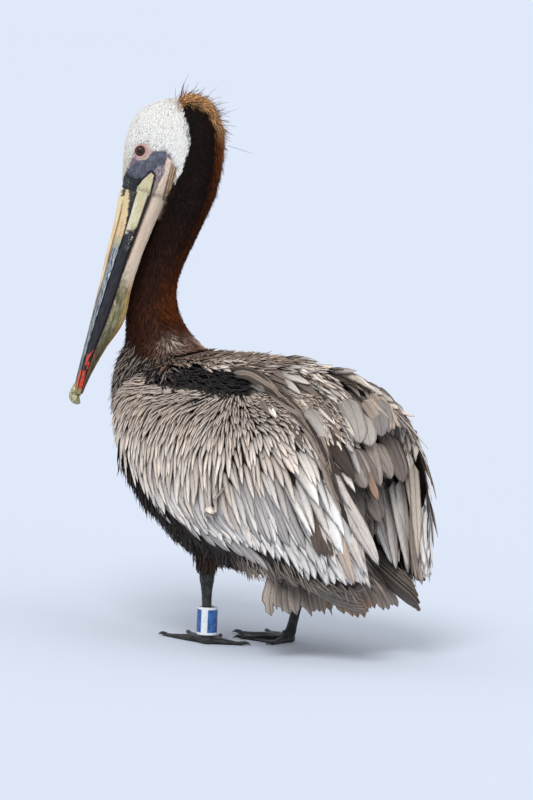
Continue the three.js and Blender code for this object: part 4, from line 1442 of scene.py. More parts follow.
# Rows of secondaries: count, the first feather and the last, and how the row bows between them. A
# feather is its root, length, width and the rise of its tip.
SECONDARIES = [
    (8, (116, -122, 240, 92, 12, 0), (118, 30, 176, 96, 16, 0), (3, 0, -8)),
    (14, (110, -85, 242, 86, 13, 0), (118, 100, 222, 98, 17, 0), (8, 0, -8)),
    (11, (118, 50, 250, 104, 17, 1), (112, 160, 232, 100, 19, 2), (0, 0, 8)),
]


def row_of(count, first, last, bow):
    """Evenly spaced feathers between two, bowed in the middle."""
    t = np.linspace(0, 1, count)[:, None]
    bend = np.array([*bow, 0.0, 0.0, 0.0])
    return np.array(first) * (1 - t) + np.array(last) * t + bend * 4 * t * (1 - t)


def make_flight_feathers(quills):
    """The secondaries, which peep out between the coverts."""
    for name, side in SIDES.items():
        rows = np.concatenate([row_of(*row) for row in SECONDARIES]) * [side, 1, 1, 1, 1, 1]
        draw = np.random.default_rng(5 + side)
        roots, normals = BODY.nearest(rows[:, :3])
        lines, ups = grown(BODY, roots, normals, rows[:, 3], WING_LIE, 16, 0.04, draw)
        laid_feathers("secondaries_" + name, quills, "wing_plumage", lifted(lines, ups, 5.0, rows[:, 5], 1.8),
                      ups, rows[:, 4], shape=(0.06, 0.8, 0.55), thick=0.7, camber=0.16, seed=draw,
                      tint=SILVER, edge=SLATE, spread=0.1, wear=0.25, chart="wing", roots=roots, least=0.08)


HUNG_STEPS = 14
HUNG_SCATTER = 4.0  # of the roots and the tips


def hung(name, material, bands, seed, *, shape=(0.1, 0.7, 0.45), wear=0.3, dark_root=0.35):
    """Feathers that hang free of the body, in bands that go from a first feather to a last.

    Each band gives its count, the first and last roots, the first and last tips, the way that the
    feathers face, their width, how far they bow, and two colours, either of which a feather may have.
    """
    draw = np.random.default_rng(seed)
    t = np.linspace(0, 1, HUNG_STEPS)[None, :, None]
    lines, ups, widths, tints = [], [], [], []
    for count, roots, tips, facing, width, bow, colours in bands:
        part = np.linspace(0, 1, count)[:, None]
        root, tip = (np.array(ends[0]) * (1 - part) + np.array(ends[1]) * part for ends in (roots, tips))
        root = root + draw.normal(0, HUNG_SCATTER, root.shape)
        tip = tip + draw.normal(0, HUNG_SCATTER, tip.shape)
        faced = unit(np.array(facing, float) + draw.normal(0, 0.16, (count, 3)))
        layer = np.arange(count)[:, None, None] % 2 * 1.6
        bowed = faced[:, None] * (bow * 4 * t * (1 - t) + layer)
        lines.append(root[:, None] * (1 - t) + tip[:, None] * t + bowed)
        ups.append(np.broadcast_to(faced[:, None], lines[-1].shape))
        widths.append(draw.normal(width, 0.13 * width, count))
        tints.append(np.where(draw.uniform(0, 1, (count, 1)) < 0.5, *map(ink, colours)))
    lines, ups, widths, tint = map(np.concatenate, (lines, ups, widths, tints))
    laid_feathers(name, material, "wing_plumage", lines, ups, widths, shape=shape, camber=0.2, seed=seed + 1,
                  tint=tint, edge=tint * 1.3, spread=0.16, wear=wear, dark_root=dark_root)


REARWARDS = (0.45, 0.85, 0.25)
# Count, roots, tips, facing, width, bow, colours: rounded feathers between the folded wings.
RUMP_BANDS = [
    (5, [(70, 178, 262), (-8, 170, 262)], [(54, 214, 196), (-10, 206, 192)], REARWARDS, 22, 4,
     ("5f5650", "7c716a")),
    (9, [(66, 188, 298), (-66, 176, 312)], [(50, 212, 246), (-62, 206, 252)], REARWARDS, 23, 6,
     ("7d7069", "a3958a")),
    (7, [(84, 148, 352), (-40, 172, 360)], [(88, 186, 300), (-28, 200, 308)], REARWARDS, 27, 8,
     ("9c948e", "b7ada5")),
    (4, [(0, 172, 362), (-52, 150, 366)], [(-20, 200, 322), (-66, 184, 318)], REARWARDS, 17, 6,
     ("b9a696", "cdbaa8")),
    (2, [(26, 204, 264), (16, 206, 262)], [(24, 216, 226), (12, 216, 222)], REARWARDS, 11, 2,
     ("a58471", "b29483")),
]
# The longest inner feathers of each wing, which hang over the tail, with a few dark ones above them.
LONG_LEFT = [
    (5, [(104, 128, 214), (104, 186, 244)], [(98, 214, 116), (84, 246, 122)], (0.8, 0.55, 0.1), 19, 3,
     ("cfc9c6", "e0dbd8")),
    (4, [(104, 176, 262), (98, 206, 262)], [(84, 250, 124), (58, 266, 150)], (0.75, 0.62, 0.15), 20, 4,
     ("b9a698", "cfc4bc")),
    (4, [(84, 178, 318), (86, 198, 298)], [(94, 208, 262), (86, 226, 264)], (0.7, 0.65, 0.2), 21, 5,
     ("43372f", "54473f")),
    (3, [(115, 185, 212), (111, 198, 204)], [(114, 214, 152), (106, 228, 150)], (0.85, 0.5, 0.1), 17, 4,
     ("5a4c44", "6b5d54")),
]
LONG_RIGHT = [
    (4, [(-80, 186, 290), (-72, 206, 272)], [(-84, 214, 176), (-62, 242, 138)], REARWARDS, 13, 3,
     ("e0d6ce", "cfc0b2")),
    (5, [(-96, 184, 232), (-86, 216, 206)], [(-88, 206, 112), (-62, 246, 108)], REARWARDS, 16, 3,
     ("bba99b", "e9e3de")),
    (5, [(-66, 142, 222), (-74, 188, 250)], [(-68, 180, 132), (-76, 204, 118)], REARWARDS, 19, 3,
     ("e2d8d0", "f2ece6")),
]
# Narrow brown ones at the rear edge of the right wing.
EDGE_LANCES = (8, [(-72, 150, 352), (-84, 200, 300)], [(-106, 186, 274), (-102, 222, 240)], (-0.4, 0.7, 0.5),
               8, 3, ("4f4038", "8d7a6b"))


def make_rump(lances):
    slim = (0.08, 0.6, 0.55)
    hung("rump_feathers", lances, RUMP_BANDS, 51)
    hung("long_feathers_left", lances, LONG_LEFT, 61, shape=slim, wear=0.2, dark_root=0.55)
    hung("long_feathers_right", lances, LONG_RIGHT + [EDGE_LANCES], 71, shape=slim, dark_root=0.3)


# How far along the left wing's upper rear edge, then x, y, z.
RIM_PATH = [(0, 66, -30, 384), (50, 66, 20, 386), (108, 76, 78, 368), (150, 83, 113, 353),
            (184, 89, 142, 340), (220, 95, 169, 320), (265, 102, 198, 286), (302, 103, 217, 250),
            (340, 98, 232, 216)]
RIM_FEATHER = 82  # length of one
RIM_FEATHERS = 44  # on each wing
RIM_STEPS = 12


def make_wing_rims(lances):
    """Narrow dark and middling feathers in line along the upper rear edge of each wing."""
    t = np.linspace(0, 1, RIM_STEPS)[None, :, None]
    for name, side in SIDES.items():
        draw = np.random.default_rng(81 + side)
        starts = np.sort(draw.uniform(0, RIM_PATH[-1][0] - RIM_FEATHER, RIM_FEATHERS))
        places = starts[:, None] + np.linspace(0, RIM_FEATHER, RIM_STEPS)[None]
        path = flowing(RIM_PATH, places.ravel())[:, 1:].reshape(*places.shape, 3)
        aside = unit(np.cross(np.gradient(path, axis=1), [0.6, 0.1, 0.8]))
        path = path + aside * (draw.uniform(-9, 10, (RIM_FEATHERS, 1, 1)) * (1 - 0.4 * t))
        path = path + [0.6, 0.2, 0.7] * (3.5 * t - 1)
        ups = np.broadcast_to(unit(np.array([0.75, 0.3, 0.6])), path.shape)
        tint = np.where(draw.uniform(0, 1, (RIM_FEATHERS, 1)) < 0.55, ink("4d4139"), ink("968679"))
        laid_feathers("rim_feathers_" + name, lances, "wing_plumage", path * [side, 1, 1], ups * [side, 1, 1],
                      draw.normal(7.5, 1, RIM_FEATHERS), shape=(0.15, 0.55, 0.8), seed=83 + side, tint=tint,
                      edge=tint * 1.7, spread=0.16, wear=0.2, dark_root=0.5, camber=0.25, thick=0.6)


def scapular_size(points):
    """0 for the short feathers at the front of the back, 1 for the long ones at its rear."""
    return step(-60, 120, points[:, 1])


def scapular_length(points, normals):
    return 54 + 34 * scapular_size(points)


def scapular_width(points, normals):
    return 9 + 6 * scapular_size(points)


def scapular_spacing(points):
    return 6.6 + 3 * scapular_size(points), 17 + 7 * scapular_size(points)


def make_scapulars(lances):
    """Long loose lance-shaped feathers over the back and the tops of the wings."""
    x, y, z = BODY.centres.T
    flesh = on_nodes("trunk", "wing_left", "wing_right")
    back = flesh * EXPOSED * (z > 358 + 14 * step(70, 10, y)) * step(-95, -20, y)
    back = back * (1 - step(50, 56, np.abs(x)) * step(24, 4, y))
    for name, side in SIDES.items():
        coat("scapulars_" + name, lances, "wing_plumage", 4000, back * (x * side > 0), scapular_length,
             scapular_width, BACK_LIE, steps=12, section=VANE, thick=0.6, camber=0.26, depth=5.5, rise=3.6,
             power=1.7, sway=0.14, shape=(0.2, 0.5, 0.75), colours=speckled("8f7f73", "eadfd4", 0.58, 14),
             spread=0.2, dark_root=0.12, chart="wing", loose=0.4, spacing=scapular_spacing)


# ------------------------------------------------------------------ bill
# Along the bill: culmen, mouth line, lower edge of the jaw, keel of the pouch, half width.
CULMEN, MOUTH, JAW, KEEL, HALF_WIDTH = range(1, 6)
BILL_ROWS = [(-30, -10, -26, -42, -60, 23), (0, 0, -22, -40, -64, 22), (40, -2, -21, -37, -58, 20),
             (90, -3, -18.5, -33, -52, 18), (140, -5, -15.5, -31, -50, 16.5),
             (180, -6, -13.5, -28.5, -52, 15.5), (225, -6.5, -11.5, -23.5, -37, 15.5),
             (262, -7, -12, -20.5, -27, 15), (296, -8, -13.5, -19.5, -21.5, 11)]
# Half sections: across in half widths, and down from the upper line to the lower one.
UPPER_HALF = [(0, 0), (0.12, 0.005), (0.24, 0.04), (0.34, 0.12), (0.4, 0.23), (0.4, 0.31), (0.45, 0.345),
              (0.56, 0.35), (0.7, 0.42), (0.84, 0.54), (0.94, 0.7), (0.99, 0.86), (1, 0.96), (0.96, 1.02),
              (0.8, 0.99), (0.4, 0.96), (0, 0.95)]
LOWER_HALF = [(0, 0.06), (0.5, 0.03), (0.86, 0.01), (0.95, 0.03), (1, 0.12), (1.01, 0.26), (0.99, 0.42),
              (0.965, 0.56), (0.95, 0.7), (0.93, 0.84), (0.89, 0.95), (0.8, 0.99), (0.4, 1), (0, 1)]
POUCH_HALF = [(0, -0.05), (0.5, -0.05), (0.84, -0.04), (0.88, 0.03), (0.865, 0.1), (0.84, 0.2), (0.8, 0.32),
              (0.73, 0.46), (0.62, 0.61), (0.49, 0.74), (0.35, 0.86), (0.2, 0.95), (0.08, 0.99), (0, 1)]
BILL_RINGS = 340
BILL_AROUND = 92
BILL_START = -12  # behind the culmen's base, inside the head
BILL_REACH = 5  # how far off the face is drawn onto the bill


def bill_piece(name, half_section, upper, lower, end, tint_of, relief_of):
    """A part of the bill between two of its lines, with both sides alike in form."""
    s = np.linspace(BILL_START, end, BILL_RINGS)
    rows = flowing(BILL_ROWS, s)
    top, bottom, half = rows[:, upper], rows[:, lower], rows[:, HALF_WIDTH]
    keys = np.array(half_section)
    run = np.concatenate([[0], np.cumsum(np.linalg.norm(np.diff(keys, axis=0), axis=1))])
    steps = np.linspace(0, run[-1], BILL_AROUND // 2 + 1)
    one = np.stack([np.interp(steps, run, keys[:, i]) for i in (0, 1)], 1)
    section = np.concatenate([one, one[-2:0:-1] * [-1, 1]])
    tuck = 1 - 0.05 * step(-8, BILL_START, s)
    x = section[None, :, 0] * (half * tuck)[:, None]
    v = np.broadcast_to(section[None, :, 1], x.shape)
    middle = (top + bottom)[:, None] / 2
    n = middle + (top[:, None] + (bottom - top)[:, None] * v - middle) * tuck[:, None] ** 0.5
    place = np.stack([x, n, np.broadcast_to(s[:, None], x.shape)], -1)
    points = from_head(place)
    flat, down = place.reshape(-1, 3), v.ravel()
    raised = relief_of(flat, down, points.reshape(-1, 3)) * step(-9, 4, flat[:, 2])
    centre = np.stack([0 * s, (top + bottom) / 2, s], 1)[:, None]
    out = unit((place - centre) * [1, 1, 0]).reshape(-1, 3)
    points = from_head(flat + out * raised[:, None]).reshape(points.shape)
    run_map = np.stack([down * 20, flat[:, 2]], 1)
    return lofted(name, points, tint_of(flat, down, points.reshape(-1, 3)), {"run": run_map})


def upper_tint(q, v, points):
    s = q[:, 2] + 5 * wobble(points, 8, 20)
    ridge = mix("e8d5aa", "dcb283", streaks(q, 5, 34, 21) * step(0, 60, s))
    ridge = mix(ridge, "4f5a60", step(126, 168, s) * (0.55 + 0.45 * streaks(q, 2.5, 22, 56)))
    ridge = mix(ridge, "434a4c", step(248, 268, s) * (0.5 + 0.5 * streaks(q, 4, 12, 22)))
    plate = mix("dcc394", "cf9f70", streaks(q, 3, 30, 23) * step(30, 90, s))
    plate = mix(plate, "a5aa92", step(58, 74, s) * (0.6 + 0.4 * streaks(q, 3, 9, 24)))
    far = mix("3f4a53", "c2c9cb", step(0.5, 0.85, streaks(q, 2.2, 24, 25)))
    far = mix(far, "6f8592", 0.22)
    plate = mix(plate, far, step(72, 88, s))
    plate = mix(plate, "3d4549", step(225, 262, s) * 0.8)
    tint = mix(ridge, plate, step(0.27, 0.36, v))
    groove = np.exp(-((v - 0.32) / 0.055) ** 2)
    tint = mix(tint, mix("6a3a28", "26262a", step(120, 170, s)), groove * step(10, 34, s) * 0.9)
    lower_groove = np.exp(-((v - 0.62 - 0.0006 * s) / 0.05) ** 2)
    rust = 0.6 * lower_groove * step(20, 60, s) * step(135, 110, s) * streaks(q, 4, 14, 26)
    tint = mix(tint, "8a4a38", rust)
    rag = wobble(points, 5, 27)
    base = np.interp(q[:, 2], [-7, 8, 28, 50, 80], [0.4, 0.66, 0.8, 0.92, 0.97])
    seam = step(-0.05, 0.05, v - base + 0.07 * rag)
    patch = step(0.07, 0.14, v + 0.05 * rag) * step(0.37, 0.29, v + 0.06 * rag)
    patch = patch * step(14, 6, q[:, 2] + 6 * rag)
    # Pale streaks on the black near the base: partly pale flecks of the horn, partly a painted highlight.
    glint_and_scuffs = 0.6 * step(0.72, 0.95, streaks(q, 1.6, 5, 28)) * step(20, 0, q[:, 2])
    black = mix(HORN_BLACK * 1.3, "7d7768", glint_and_scuffs)
    tint = mix(tint, black, np.maximum(seam, patch))
    red = step(0.05, 0.35, wobble(q * [1, 1, 0.5], 6, 29)) * step(256, 268, s) * step(293, 284, s)
    red = np.maximum(red, step(266, 274, s) * step(292, 284, s) * 0.85)
    tint = mix(tint, mix("cf4430", "e2702a", streaks(q, 4, 6, 30)), red * step(0.3, 0.5, v))
    tint = mix(tint, "a89a5c", step(286, 292, s) * 0.7)
    rim = step(0.94, 0.99, v)
    return mix(tint, "17140f", rim)


def upper_relief(q, v, points):
    edge = -0.25 * np.exp(-((v - 0.66) / 0.05) ** 2) * step(20, 60, q[:, 2])
    pitted = 0.3 * step(16, 0, q[:, 2]) * wobble(points, 3, 31)
    return edge + pitted + 0.12 * wobble(q * [1, 1, 0.2], 3, 32)


def lower_tint(q, v, points):
    s = q[:, 2]
    rag = 4 * wobble(points, 6, 33) + 4 * wobble(q * [1, 1, 0.25], 2.2, 34)
    cream = mix(ramus_cream(q), "e0dccb", 0.5 * step(0.55, 0.15, v) * step(0, 20, s))
    black = mix("151419", "292830", streaks(q, 4, 26, 37) * step(0.9, 0.4, v))
    tint = mix(cream, black, step(49, 57, s + rag + 14 * (v - 0.5)))
    white_marks = step(0.75, 0.95, streaks(q, 0.8, 8, 38)) * step(56, 62, s)
    white_marks = white_marks * step(84, 70, s) * step(0.4, 0.6, v)
    tint = mix(tint, "cfc9b4", 0.8 * white_marks)
    red = step(0.0, 0.22, wobble(q * [1, 1, 0.4], 7, 39)) * step(226, 240, s) * step(0.12, 0.3, v)
    near_tip = step(262, 274, s) * step(294, 284, s) * 0.9 * step(0.1, 0.25, v)
    red = np.maximum(red * step(296, 285, s), near_tip)
    tint = mix(tint, mix("c93a34", "dc5426", streaks(q, 4, 7, 40)), red * 0.92)
    tint = mix(tint, "b7a368", step(285, 292, s) * 0.7)
    return mix(tint, "141114", np.maximum(step(0.07, 0.02, v), step(0.86, 0.97, v)) * step(-6, 4, s))


def lower_relief(q, v, points):
    return 0.15 * wobble(q * [1, 1, 0.25], 4, 41) - 0.5 * np.exp(-((v - 0.97) / 0.04) ** 2)


def pouch_tint(q, v, points):
    s = q[:, 2] + 6 * wobble(points, 11, 42)
    tint = pouch_pink(q, points, v)
    grey = mix("9d9a86", "c9bca4", streaks(q, 5, 14, 45))
    tint = mix(tint, grey, step(84, 128, s) * step(0.9, 0.35, v))
    olive = mix("565138", "8d8560", streaks(q, 7, 40, 46))
    olive = mix(olive, "a3a38c", 0.5 * step(0.7, 1, streaks(q, 4, 22, 47)))
    tint = mix(tint, olive, step(118, 140, s - 12 * (v - 0.4)))
    tint = mix(tint, "b8935c", 0.85 * step(0.55, 0.95, v + 0.1 * wobble(points, 9, 48)) * step(112, 150, s))
    tint = mix(tint, "3a3524", step(176, 215, s) * (0.55 + 0.3 * streaks(q, 4, 12, 49)) * step(1.05, 0.75, v))
    fleck = step(0.52, 0.8, wobble(q * [1, 1, 0.55], 4.5, 50)) * step(140, 152, s) * step(236, 226, s)
    tint = mix(tint, "cfc2b6", fleck * step(0.34, 0.12, v))
    red = step(0.1, 0.4, wobble(q * [1, 1, 0.4], 7, 39)) * step(226, 240, s) * step(294, 286, s)
    tint = mix(tint, "a2402c", 0.8 * (red * step(0.5, 0.1, v)))
    # The top of the pouch: a brownish band, a painted shadow under the jaw, then the near-black line where
    # the pouch meets the jaw.
    near = mix_number(0.2, 0.07, step(70, 130, q[:, 2]))
    tint = mix(tint, "8a705c", 0.6 * step(1.5 * near, near, v))
    return mix(tint, "221a17", step(near, 0.6 * near, v + 0.02 * wobble(points, 7, 57)))


def pouch_relief(q, v, points):
    crease = np.sin(v * 46 + 2.2 * wobble(q * [1, 1, 0.25], 16, 51)) * step(0.03, 0.2, v)
    return 0.28 * crease * (0.5 + 0.5 * step(100, 160, q[:, 2])) + 0.22 * wobble(q * [1, 1, 0.4], 5, 52)


# Step, then left, towards the crown and along the bill; half width, height above and below that line.
NAIL_ROWS = [(0, 0, -11, 280, 4, 2.6, 2.6), (1, 0, -8.5, 290, 8.6, 3.6, 5), (2, 0, -8.5, 300, 9.4, 5, 9),
             (3, 0, -11.5, 306, 8.6, 4.6, 12), (4, 0, -16.5, 308, 7.2, 4, 13), (5, 0, -21, 306, 4.6, 3, 9)]


NAIL_RINGS = 70
NAIL_AROUND = 40


def make_nail():
    """The hooked nail that caps the upper mandible."""
    rows = flowing(NAIL_ROWS, np.linspace(0, 5, NAIL_RINGS))
    centre = rows[:, 1:4]
    ahead = unit(np.gradient(centre, axis=0))
    up = unit(np.cross(ahead, [1.0, 0, 0]))
    turn = np.linspace(0, 2 * pi, NAIL_AROUND, endpoint=False)
    round_x = np.sign(np.cos(turn)) * np.abs(np.cos(turn)) ** 0.85
    tall = np.where(np.sin(turn) > 0, rows[:, 5:6], rows[:, 6:7]) * np.sin(turn)
    ring = (centre[:, None] + np.array([1.0, 0, 0]) * (rows[:, 4:5] * round_x)[..., None]
            + up[:, None] * tall[..., None])
    flat = ring.reshape(-1, 3)
    points = from_head(flat)
    tint = mix("8f8d62", "b9b184", step(-0.5, 0.6, wobble(points, 7, 53)))
    # A painted highlight: pale cream patches on the nail's two sides.
    side = step(0.5, 0.9, np.abs(np.tile(np.cos(turn), len(rows))))
    tint = mix(tint, "d3cfb0", 0.6 * side * step(-0.3, 0.3, wobble(points, 9, 55)))
    tint = mix(tint, "34382f", step(0.1, 0.5, wobble(points, 5, 54)) * 0.8)
    root = step(290, 283, flat[:, 2])
    tint = mix(tint, "9a7f4e", root)
    fore = np.repeat(np.linspace(0, 1, NAIL_RINGS), NAIL_AROUND)
    tint = mix(tint, "77764f", step(0.85, 1, fore))
    run_map = np.stack([np.tile(turn * 4, len(rows)), fore * 45], 1)
    return lofted("bill_tip_nail", points.reshape(ring.shape), tint, {"run": run_map})


def horn_material(name, roughness=0.36, coarse=0.22, shine=0.4):
    """Horn and tight skin: their tint with fine streaks along it, and small scratches."""
    material = new_material(name)
    nodes = Nodes(material)
    shader = nodes.principled(roughness=roughness, specular=shine)
    run = nodes.place("UV", "run")
    streak = nodes.noise(nodes.stretched(run, (1.6, 0.12, 1)), 1.0, 4)
    fleck = nodes.noise(nodes.place("Object"), 620, 3)
    both = nodes.maths("ADD", nodes.maths("MULTIPLY", streak, 0.6), nodes.maths("MULTIPLY", fleck, 0.4))
    nodes.tinted(shader, both, 0.3, 0.7, 1 - coarse, 1 + coarse * 0.7)
    nodes.link(nodes.curve(fleck, 0.3, 0.7, roughness - 0.08, roughness + 0.14), shader.inputs["Roughness"])
    nodes.bump(shader, both, 0.45, 0.0006)
    return material


def make_bill():
    """The two mandibles, the pouch and the nail; returns a search tree of all but the nail."""
    horn = horn_material("bill_horn")
    leather = horn_material("pouch_skin", roughness=0.5, coarse=0.16, shine=0.3)
    upper = bill_piece("bill_top", UPPER_HALF, CULMEN, MOUTH, 295, upper_tint, upper_relief)
    finished(upper, horn, "bill_horn", "bill_upper")
    lower = bill_piece("bill_jaw", LOWER_HALF, MOUTH, JAW, 296, lower_tint, lower_relief)
    finished(lower, horn, "bill_horn", "bill_lower")
    pouch = bill_piece("bill_bag", POUCH_HALF, JAW, KEEL, 295, pouch_tint, pouch_relief)
    finished(pouch, leather, "bare_skin", "bill_pouch")
    finished(make_nail(), horn, "bill_nail", "bill_nail")
    return surface_of([upper.data, lower.data, pouch.data])


# ------------------------------------------------------------------ tail and primaries
TAIL_ROOT = np.array([2.0, 105, 169])
TAIL_AXES = np.array(Matrix.Rotation(radians(-17), 3, "Z") @ Matrix.Rotation(radians(-54), 3, "X"))
TAIL_LENGTH = 135
TAIL_ARCH = 16
TAIL_SPREAD = (34, 116)  # half widths at the root and at the tips
RECTRICES = ((1, 18), (0.94, 13))  # how far out each layer goes, and its count
TAIL_COVERTS = 190


def tail_lines(spans, lengths, lift, steps=18):
    """Lines of a fan of feathers, and their upward directions; spans run from -1 to 1 across it."""
    t = np.linspace(0, 1, steps)[None]
    v = spans[:, None]
    y = mix_number(-14.0, lengths[:, None] * (1 - 0.16 * v * v), t)
    opened = 1 - (1 - np.clip(y / TAIL_LENGTH, 0, 1)) ** 1.6
    closed = 1 - 0.14 * np.abs(v) * (y / TAIL_LENGTH) ** 6
    x = mix_number(*TAIL_SPREAD, opened) * v * closed
    z = -TAIL_ARCH * v * v * opened + lift[:, None] * (1 - 0.7 * t) + 0 * t
    local = np.stack([x, y, z], -1)
    tilt = np.stack([2 * TAIL_ARCH * v * opened / TAIL_SPREAD[1], 0 * x, 1 + 0 * x], -1)
    return TAIL_ROOT + local @ TAIL_AXES.T, unit(tilt) @ TAIL_AXES.T


def make_tail(quills):
    """Two layers of worn tail feathers, the outer ones first, and the short coverts over their roots."""
    draw = np.random.default_rng(17)
    spans = np.concatenate([np.linspace(-most, most, count) for most, count in RECTRICES])
    spans = spans[np.argsort(-np.abs(spans))]
    spans = spans + draw.normal(0, 0.022, len(spans))
    lengths = TAIL_LENGTH * (0.96 + draw.normal(0, 0.045, len(spans)))
    lift = mix_number(-5.0, 5.5, 1 - np.abs(spans)) + draw.normal(0, 0.5, len(spans))
    lines, ups = tail_lines(spans, lengths, lift)
    rust = step(0.35, 0.1, spans) * step(-0.8, -0.55, spans)
    laid_feathers("rectrices", quills, "flight_feathers", lines, ups, draw.normal(24, 2, len(spans)), "tail",
                  seed=19, thick=0.9, tint=mix("7c716a", "6b615b", step(0.3, 0.6, spans)),
                  edge=ink("b5a99e"), spread=0.38, wear=0.8, tip=mix("8f857e", "997358", rust)[:, None])
    spans = draw.uniform(-1, 1, TAIL_COVERTS)
    spans = spans[np.argsort(-np.abs(spans))]
    starts = draw.uniform(-50, 30, TAIL_COVERTS)
    lengths = draw.uniform(34, 78, TAIL_COVERTS)
    lines, ups = tail_lines(spans, lengths, 7 + draw.normal(0, 1.0, TAIL_COVERTS), 9)
    lines = lines + (TAIL_AXES[:, 1] * starts[:, None])[:, None]
    laid_feathers("tail_coverts", quills, "dark_plumage", lines, ups, draw.normal(13, 2, TAIL_COVERTS),
                  shape=(0.25, 0.5, 0.8), seed=23, tint=ink("94887e"), edge=ink("5a4d45"), spread=0.25,
                  wear=0.2)


# Place along the folded hand, then x, y, z on the left side.
PRIMARY_ROWS = [(0, 84, 96, 150), (1, 82, 150, 122), (2, 72, 200, 101), (3, 59, 236, 91), (4, 48, 254, 86)]


PRIMARIES = 9
PRIMARY_STEPS = 18


def make_primaries(quills):
    """The folded hand's long dark feathers, one above another."""
    for name, side in SIDES.items():
        draw = np.random.default_rng(29 + side)
        lines, ups = [], []
        for index in range(PRIMARIES):
            height = index / (PRIMARIES - 1)
            reach = mix_number(2.6, 4.0 if side < 0 else 3.4, height)
            path = flowing(PRIMARY_ROWS, np.linspace(0.0, reach, PRIMARY_STEPS))[:, 1:]
            place = np.array([4 - 0.8 * index, 0, mix_number(13.0, -9.0, height)])
            path = path + place + draw.normal(0, 0.8, 3)
            lines.append(path * [side, 1, 1])
            ups.append(np.broadcast_to(unit(np.array([side * 0.96, 0.1, 0.25])), path.shape))
        laid_feathers("primary_feathers_" + name, quills, "flight_feathers", np.array(lines), np.array(ups),
                      draw.normal(17, 1.5, PRIMARIES), "primaries_" + name, shape=(0.04, 0.75, 0.6),
                      seed=31 + side, tint=ink("5c524c"), edge=ink("a3978c"), spread=0.22, wear=0.5,
                      camber=0.1, tip=ink("8c7059"))


# ------------------------------------------------------------------ legs, feet, claws and band
LEGS = tuple(part + "_" + side for side in SIDES for part in ("tarsus", "foot"))
LEG_VOXEL = 0.0015  # metres
LEG_SWELL = 0.0002
# Degrees from straight ahead; towards the bird's left is above 0.
TOE_HEADINGS = {"left_outer": -5, "left_middle": -33, "left_inner": -65, "left_hind": -143,
                "right_outer": -30, "right_middle": 0, "right_inner": 35, "right_hind": 100}
CLAW_LENGTH = 13
CLAW_HEIGHT = 3.1  # of the root's middle
CLAW_RINGS = 28
CLAW_AROUND = 20
# Along the claw, height of the line, half width, height above and below the line.
CLAW_ROWS = [(-2.5, 0.1, 2.6, 2.9, 2.5), (0, 0.1, 2.7, 3, 2.6), (4.5, 0.7, 2.3, 2.6, 2.3),
             (9, 0.2, 1.5, 1.7, 1.5), (13, -1.8, 0.4, 0.4, 0.4)]


def leg_tint(points):
    cloud = step(-0.5, 0.6, wobble(points, 16, 60))
    tint = mix("1e1e1f", "383634", cloud)
    tint = mix(tint, "514b44", 0.5 * step(0.35, 0.8, wobble(points, 5, 61)))
    # Darker at the very bottom, where the feet meet the floor: a painted shade.
    return mix(tint, "1b1a1a", step(3.0, 0.5, points[:, 2]) * 0.5)


def make_legs():
    """Scaly shanks, toes and webs: a part of the one skin, remeshed more finely."""
    piece = remeshed("legs", LEGS, LEG_SWELL, LEG_VOXEL, smoothing=3)
    mesh = piece.data
    points, normals = points_of(mesh), normals_of(mesh)
    shin = step(16, 30, points[:, 2])
    scutes = np.abs(np.sin(points[:, 2] * 0.75 + 0.9 * wobble(points, 9, 62)))
    pebbles = 0.35 * wobble(points, 3.2, 63)
    raised = shin * (0.3 * scutes - 0.15) + pebbles * (0.5 + 0.5 * step(1.0, 3.0, points[:, 2]))
    raised = raised * step(0.2, 1.5, points[:, 2])
    moved = points + normals * raised[:, None]
    moved[:, 2] = np.maximum(moved[:, 2], -SHIFT[2])
    move(mesh, moved)
    paint(mesh, leg_tint(points))
    shade_smooth(mesh)
    return piece


def make_claws():
    """A short hooked claw at the end of each toe, in line with it."""
    horn = horn_material("claw_horn", roughness=0.4, coarse=0.3)
    turn = np.linspace(0, 2 * pi, CLAW_AROUND, endpoint=False)
    for name, heading in TOE_HEADINGS.items():
        ahead = np.array([sin(radians(heading)), -cos(radians(heading)), 0])
        across = np.array([-ahead[1], ahead[0], 0])
        node = "claw_" + name
        root = middle_of(node) * 1000 - SHIFT - ahead * CLAW_LENGTH / 2
        root[2] = CLAW_HEIGHT
        rows = flowing(CLAW_ROWS, np.linspace(CLAW_ROWS[0][0], CLAW_LENGTH, CLAW_RINGS))
        tall = np.where(np.sin(turn) > 0, rows[:, 3:4], rows[:, 4:5]) * np.sin(turn)
        ring = (root + ahead * rows[:, None, :1] + across * (rows[:, 2:3] * np.cos(turn))[..., None]
                + np.array([0, 0, 1]) * (rows[:, 1:2] + tall)[..., None])
        points = ring.reshape(-1, 3)
        tip = np.repeat(rows[:, 0] / CLAW_LENGTH, len(turn))
        tint = mix("1d1c1c", "4a4640", step(0.3, 1, tip) * (0.5 + 0.5 * wobble(points, 3, 64)))
        run = np.stack([np.tile(turn * 2, len(rows)), np.repeat(rows[:, 0], len(turn))], 1)
        finished(lofted("nail_" + name, ring, tint, {"run": run}), horn, "claw_horn", node)


BAND_INNER = 12.6
BAND_WALL = 1.8
BAND_EDGE = 0.45  # radius of the rounded rims
BAND_FACES = 96  # round it
BAND_ROWS = 40  # up its outer side
BAND_INSIDE = 12  # rows down its inner side
BAND_LAP = 0.35  # how far the lapped end stands out
BAND_LAP_AT = 0.4  # radians
BAND_WHITE = 3.4  # height of each white rim
BAND_STRIP = 25  # degrees, the middle of the white strip
BAND_STRIP_HALF = 0.34  # radians


